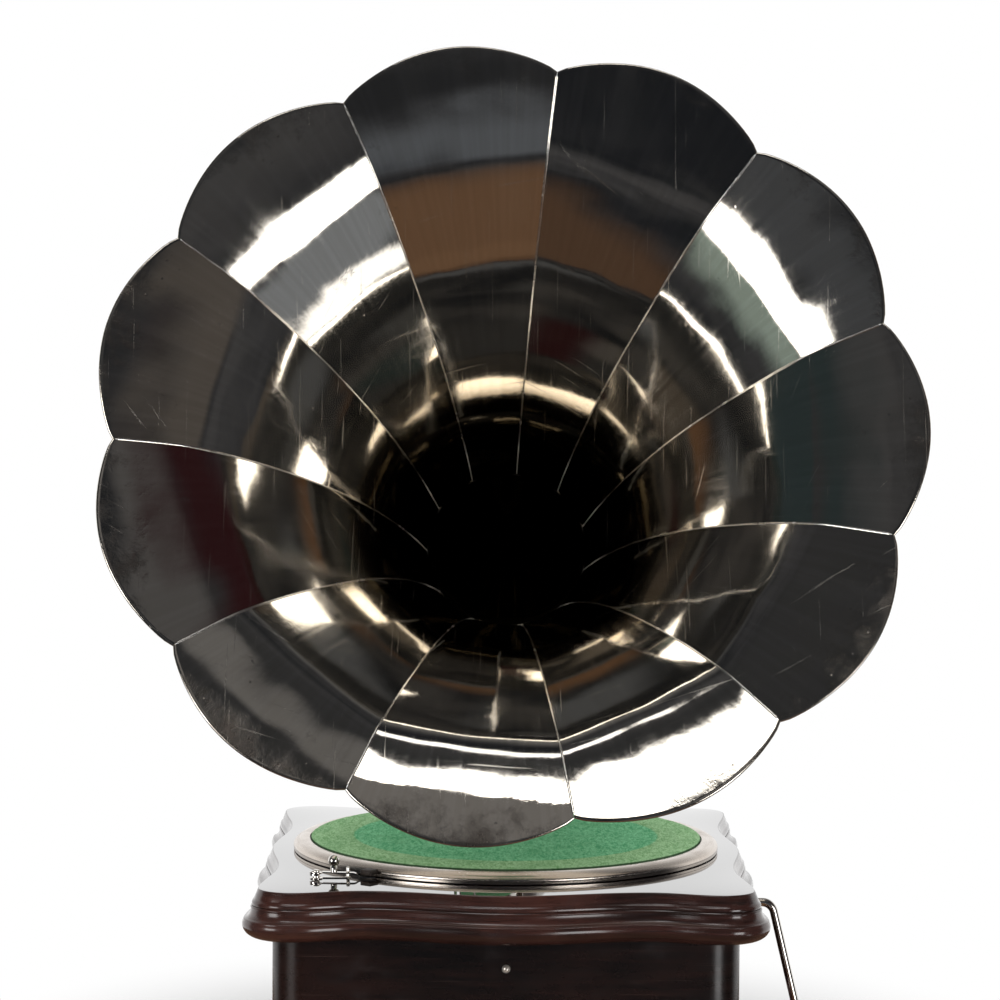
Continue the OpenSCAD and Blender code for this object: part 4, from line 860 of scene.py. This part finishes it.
def makeSeams():
    # a folded seam over each joint, a low rounded bead that thins out towards the throat
    bm = bmesh.new()
    sootAndShadeLayer = bm.verts.layers.float.new("soot")
    outline = [(seam["half"] * sin(a), seam["base"] + seam["rise"] * cos(a))
               for a in (radians(-90 + 15 * i) for i in range(13))]
    for k in range(horn["petals"]):
        angle = radians(horn["seamTurn"]) + k * petalTurn

        def place(u, v):
            over, lift = outline[round(u * len(outline)) % len(outline)]
            s = seam["start"] + (horn["end"] * seam["share"] - seam["start"]) * petalRow(v)
            narrow = seam["least"] + seam["more"] * exp(-s / seam["thins"])
            spine = sheetPoint(0, 1, s, -lift / 1000)
            wobble = seam["wobble"] * noise.noise(Vector((k * 9.0, s * 70, 0)))
            here = Vector((spine.x, over / 1000 * narrow + wobble, spine.z))
            return toMouth @ (Matrix.Rotation(angle, 3, "Z") @ here)
        formGrid(bm, len(outline), seam["rows"], place, closed=True)
    bmesh.ops.holes_fill(bm, edges=[e for e in bm.edges if e.is_boundary], sides=0)
    # how far down the throat each point is darkened, with soot and painted shade
    for vert in bm.verts:
        vert[sootAndShadeLayer] = sootAndShadeAt(-(fromMouth @ vert.co).z)
    finishPiece(bm, "seam_ribs", "horn", "horn_sheet", 60, "seam_bead")


neck = {
    "bend": 0.095, "endR": 0.024, "wall": 0.0015, "y": 0.140, "z": 0.277, "turn": 68.75,
    "steps": 48, "sides": 64,
}


def neckRadius(t):
    t = min(1.0, max(0.0, t))
    first = flare(horn["length"]) + horn["sheet"] / 2
    return first + (neck["endR"] - first) * t ** 0.85


def makeNeck():
    n = neck
    count, rows = n["steps"], 2 * n["steps"] + 2
    bm = bmesh.new()
    sootAndShadeLayer = bm.verts.layers.float.new("soot")

    def place(u, v):
        # up the outside, round the rim and back down the bore
        row = round(v * rows) % rows
        inner = row > count
        t = (rows - 1 - row if inner else row) / count
        turn = radians(n["turn"]) * (1 - t)
        r = neckRadius(t) - (n["wall"] if inner else 0)
        a = 2 * pi * u
        reach = n["bend"] + r * cos(a)
        return Vector((r * sin(a), n["y"] + reach * cos(turn), n["z"] + reach * sin(turn)))
    formGrid(bm, n["sides"], rows, place, closed=True)
    for vert in bm.verts:
        # the bore is darkened almost to black with soot and painted shade, the outside only a little
        reach = hypot(vert.co.y - n["y"], vert.co.z - n["z"])
        turn = atan2(vert.co.z - n["z"], vert.co.y - n["y"])
        fromLine = hypot(vert.co.x, reach - n["bend"])
        vert[sootAndShadeLayer] = 1.0 if fromLine < neckRadius(1 - turn / radians(n["turn"])) - n["wall"] / 2 else 0.1
    finishPiece(bm, "horn_neck", "horn", "nickel", 40, "horn_sheet")


def makeHornRings():
    start = horn["length"]
    r = flare(start) + horn["sheet"] / 2 + 0.0004
    upper = flare(start - 0.009) + horn["sheet"] / 2 + 0.0006
    collar = [(r, -0.006), (r, 0), (upper, 0.009), (upper + 0.0012, 0.009)] + metres("collar", r)
    turnPiece("neck_collar", "horn", "nickel", rounded(collar, 0.0009, 2),
              toMouth @ Matrix.Translation((0, 0, -start)), 128)
    turnPiece("horn_ferrule", "horn", "nickel", rounded(metres("ferrule"), 0.001),
              Matrix.Translation((0, neck["y"] + neck["bend"], 0)))


for index in range(horn["petals"]):
    makePetal(index)
makeSeams()
makeNeck()
makeHornRings()
print("horn built")


# Platter

platter = {
    "outer": 0.1525, "felt": 0.1401, "feltTop": 0.1745, "post": 0.004, "panZ": 0.1695,
    "lipZ": 0.1733, "rimZ": 0.1662, "skirtZ": 0.1655,
    "flat": 0.0016, "crownZ": 0.1682, "beadR": 0.00035, "beadZ": 0.1679,
    "ragged": 0.1385,  # where the felt's cut edge begins
}


def makeRim():
    p = platter
    inner, outer, bead = p["felt"] + 0.0005, p["outer"], p["beadR"]
    reach, rise = outer - inner - p["flat"], p["lipZ"] - p["crownZ"]
    outline = [(inner, p["panZ"]), (inner, p["lipZ"] - 0.0004), (inner + 0.0003, p["lipZ"] - 0.0001)]
    outline += [(inner + p["flat"] + reach * sin(a), p["crownZ"] + rise * cos(a))
                for a in (k * pi / 2 / 20 for k in range(21))]
    # a rolled bead, then the plain skirt down to just above the board
    outline += [(outer - bead + bead * cos(a), p["beadZ"] + bead * sin(a)) for a in (0, -0.8, -1.6)]
    outline += [(outer - 0.0004, p["rimZ"] + 0.0012)] + metres("skirt", outer, p["skirtZ"])
    outline += [(outer - 0.003, p["panZ"])]
    turnPiece("platter_rim", "platter", "brushed_rim", outline, steps=256)


def makeFelt():
    p = platter
    bm = bmesh.new()
    top = p["feltTop"]
    outline = metres("feltHole", p["post"], top) + [(0.02 + 0.0186 * k, top) for k in range(6)]
    outline += metres("feltEdge", p["felt"], top)
    for vert in turnShape(bm, outline, steps=220):
        # the cut edge is a little ragged
        if hypot(vert.co.x, vert.co.y) > p["ragged"] and vert.co.z > top - 0.0015:
            ragged = noise.noise(Vector((vert.co.x * 420, vert.co.y * 420, vert.co.z * 300)))
            vert.co.x *= 1 - 0.0022 * abs(ragged)
            vert.co.y *= 1 - 0.0022 * abs(ragged)
            vert.co.z += 0.00018 * ragged
    felt = finishPiece(bm, "felt_mat", "platter", "felt", 50)


makeRim()
makeFelt()
print("platter built")


# Brake, crank, tone arm and the small fittings

brake = {
    "pivot": (-0.130, -0.129), "top": 0.1696, "board": 0.165, "strip": 0.0009,
    # the lever's strip in mm from the pivot: it runs along, then steps down to the pad
    "run": [(4, 2.4, 0), (10, 1.2, 0), (14, 0.4, 0), (20, 0, 0), (25.5, -0.2, -0.1), (27.2, -0.4, -0.6),
            (28.2, -0.4, -1.6), (29, -0.4, -2.4), (30.4, -0.2, -2.9), (33, 0, -3), (40.5, 0, -3)],
    "stop": (0.0215, 0.0037, 0), "knob": (0.012, 0, 0),
}


def bentStrip(bm, line, width, thick):
    # a flat strip of metal bent along a line of points
    outline = [(-1, -1), (-0.93, -1), (0.93, -1), (1, -1), (1, 1), (0.93, 1), (-0.93, 1), (-1, 1)]
    last = len(line) - 1

    def place(u, v):
        k = round(v * last)
        ahead = (line[min(k + 1, last)] - line[max(k - 1, 0)]).normalized()
        side = Vector((0, 0, 1)).cross(ahead).normalized()
        over, lift = outline[round(u * len(outline)) % len(outline)]
        return line[k] + side * over * width / 2 + side.cross(ahead) * lift * thick / 2
    formGrid(bm, len(outline), last, place, closed=True)
    bmesh.ops.holes_fill(bm, edges=[e for e in bm.edges if e.is_boundary], sides=0)


def makeBrake():
    b = brake
    onBoard, onTop = (Vector((*b["pivot"], b[level])) for level in ("board", "top"))
    middle = onTop - Vector((0, 0, b["strip"] / 2))
    bm = bmesh.new()
    bentStrip(bm, [middle + Vector(point) / 1000 for point in b["run"]], 0.0040, b["strip"])
    # the strip's end curls round the pivot
    curl = [Vector((-4.2 * sin(a), 3.0 * cos(a), -0.6)) for a in (radians(200 - 20 * k) for k in range(10))]
    bentStrip(bm, [middle + point / 1000 for point in curl], 0.0009, 0.0026)
    turnShape(bm, rounded(metres("brakeWasher", height=-0.001), 0.0002), Matrix.Translation(onTop), 48)
    finishPiece(bm, "brake_lever", "brake", "nickel", 30)
    bm = bmesh.new()
    turnShape(bm, rounded(metres("brakePost"), 0.0003), Matrix.Translation(onBoard), 48)
    turnShape(bm, rounded(metres("brakeStop"), 0.0003), Matrix.Translation(onBoard + Vector(b["stop"])), 32)
    foot = [onBoard + Vector((0.003 + 0.002 * k, 0.0026, 0.0004)) for k in range(10)]
    bentStrip(bm, foot, 0.0030, 0.0007)
    finishPiece(bm, "brake_base", "cabinet", "nickel", 30)
    # its ball knob stands on a waisted pin
    turnPiece("brake_knob", "brake", "nickel", metres("knobFoot") + ballTop(0.0040, 0.0080),
              Matrix.Translation(onTop + Vector(b["knob"])), 48)


crank = {
    "y": 0.040, "z": 0.119, "rod": 0.003, "bend": 0.009, "slope": 13.5, "throw": 0.088,
    "shaftEnd": 0.161, "reach": 0.037, "in": 0.017, "gripIn": 0.006, "grip": 0.082, "rings": 20,
}


def crankRun():
    # centre line of the rod, from inside the shaft to the end of the grip
    c = crank
    turn = radians(90 - c["slope"])
    arm = (c["throw"] - 2 * c["bend"] * (1 - cos(turn))) / sin(turn)
    x1 = cabinet["halfW"] + c["reach"] - c["bend"] * tan(turn / 2)
    x2 = x1 + 2 * c["bend"] * sin(turn) + arm * cos(turn)
    low = c["z"] - c["throw"]
    turns = [turn * k / 10 for k in range(11)]
    line = [(c["shaftEnd"] - c["in"], c["z"])]
    line += [(x1 + c["bend"] * sin(a), c["z"] - c["bend"] * (1 - cos(a))) for a in turns]
    line += [(x2 - c["bend"] * sin(a), low + c["bend"] * (1 - cos(a))) for a in reversed(turns)]
    line += [(x2 + c["gripIn"] + c["grip"] + 0.002, low)]
    return [Vector((x, c["y"], z)) for x, z in line], x2, low


def makeCrank():
    c = crank
    line, x2, low = crankRun()
    rows = len(line) - 1
    side = Vector((0, 1, 0))
    bm = bmesh.new()

    def place(u, v):
        row = round(v * rows)
        here = line[row]
        ahead = (line[min(row + 1, rows)] - line[max(row - 1, 0)]).normalized()
        up = ahead.cross(side)
        a = 2 * pi * u
        swell = 0.00010 * sin(9 * v) + (0.00010 if 0 < row < rows else 0)
        return here + (side * cos(a) + up * sin(a)) * (c["rod"] + swell)
    formGrid(bm, c["rings"], rows, place, closed=True)
    bmesh.ops.holes_fill(bm, edges=[e for e in bm.edges if e.is_boundary], sides=0)
    washer = x2 + c["gripIn"] + c["grip"] + 0.0002
    turnShape(bm, rounded(metres("crankWasher"), 0.0005), facing((washer, c["y"], low), (1, 0, 0)), 32)
    finishPiece(bm, "crank_rod", "crank", "nickel", 40)
    grip, bore = c["grip"], c["rod"] + 0.00005
    shape = [(bore, 0)] + metres("gripHead")
    shape += [(0.008 + 0.0045 * sin(radians(160 * t + 5)), 0.003 + t * (grip - 0.006))
              for t in (k / 26 for k in range(27))]
    shape += [(0.0083, grip - 0.0024), (0.008, grip - 0.0008), (0.0070, grip), (bore, grip)]
    turnPiece("crank_grip", "grip", "grip_wood", shape,
              facing((x2 + c["gripIn"], c["y"], low), (1, 0, 0)), 64)


arm = {
    "y": 0.235, "h": 0.215, "backR": 0.017, "frontR": 0.0115, "wall": 0.002, "front": 0.036,
    "sleeve": 0.022, "plug": 0.010, "plugEnd": 0.0365, "ring": 0.241, "gap": 0.0002,
    "soundbox": (-0.018, 0.002, 0.215),
}


def makeToneArm():
    a = arm
    elbow = a["ring"] - a["gap"] - 0.0018 - a["h"]
    back = a["y"] - elbow
    front = Vector((0, -1, 0))
    # centre line with its radius, from under the collar round the elbow to the front
    tube = [(Vector((0, back + elbow * sin(t), a["h"] + elbow * (1 - cos(t)))),
             Vector((0, -cos(t), -sin(t))), a["backR"]) for t in (pi / 2 * (1 - k / 16) for k in range(17))]
    for t in (k / 12 for k in range(1, 12)):
        y = back + (a["front"] - back) * t
        tube.append((Vector((0, y, a["h"])), front, a["backR"] + (a["frontR"] - a["backR"]) * t))
    tip = [(Vector((0, y, a["h"])), front, r) for y, r in metres("armTip", height=a["frontR"])]
    bore = [(Vector((0, y, a["h"])), front, a["plug"] + 0.00005) for y in (a["sleeve"], a["plugEnd"])]
    bore += [(centre, ahead, r - a["wall"]) for centre, ahead, r in reversed(tube)]
    rows = tube + tip + bore
    bm = bmesh.new()

    def place(u, v):
        centre, ahead, r = rows[round(v * len(rows)) % len(rows)]
        angle = 2 * pi * u
        side = Vector((1, 0, 0))
        return centre + (side * cos(angle) + ahead.cross(side) * sin(angle)) * r
    formGrid(bm, 48, len(rows), place, closed=True)
    finishPiece(bm, "tonearm_tube", "tonearm", "nickel", 40, name="toneArmTube")


makeBrake()
turnPiece("front_stud", "cabinet", "nickel", metres("studFoot") + ballTop(0.0029, 0.0034),
          facing((0, -cabinet["halfD"], cabinet["studZ"]), (0, -1, 0)), 48, "dull_nickel")
makeCrank()
makeToneArm()
turnPiece("soundbox_case", "soundbox", "nickel", rounded(metres("soundbox"), 0.0006, 2),
          facing(arm["soundbox"], (-1, 0, 0)))
softenedParts = [  # node, body, slot, how far its edges are cut
    ("horn_bracket", "cabinet", "cast_bracket", 0.0016),
    ("horn_thumbscrew", "horn_lock", "nickel", 0.0005),
    ("bracket_screws", "cabinet", "steel", 0.0002),
    ("brake_pad", "brake", "leather", 0.0005),
    ("crank_escutcheon", "cabinet", "nickel", 0.0003),
    ("speed_knob", "speed_screw", "nickel", 0.0003),
    ("stylus_bar", "soundbox", "nickel", 0.0002),
    ("needle_screw", "needle_lock", "nickel", 0.0002),
]
for node, body, slot, width in softenedParts:
    softened(node, body, slot, width)
print("fittings built")


# CAD solids whose shapes are right take their material

keptNodes = {
    "plain_wood": ["bottom_board", "corner_blocks"],
    "nickel": ["tonearm_collar", "gooseneck"],
    "steel": ["needle", "spindle", "speed_lever", "motor_top_plate", "motor_bottom_plate", "motor_cheeks",
              "motor_bolts", "mainspring", "winding_arbor", "governor_shaft", "governor_springs",
              "crank_shaft"],
    "pan": ["platter"],
    "brass": ["spring_barrel", "intermediate_gear", "governor_weights", "governor_disc"],
    "rubber": ["soundbox_gaskets"],
    "mica": ["diaphragm"],
}
for slot, nodes in keptNodes.items():
    for node in nodes:
        mesh = bpy.data.objects[node].data
        if not mesh.materials:
            mesh.materials.append(finishes[slot])
        for k in range(len(mesh.materials)):
            mesh.materials[k] = finishes[slot]
print("kept nodes finished")
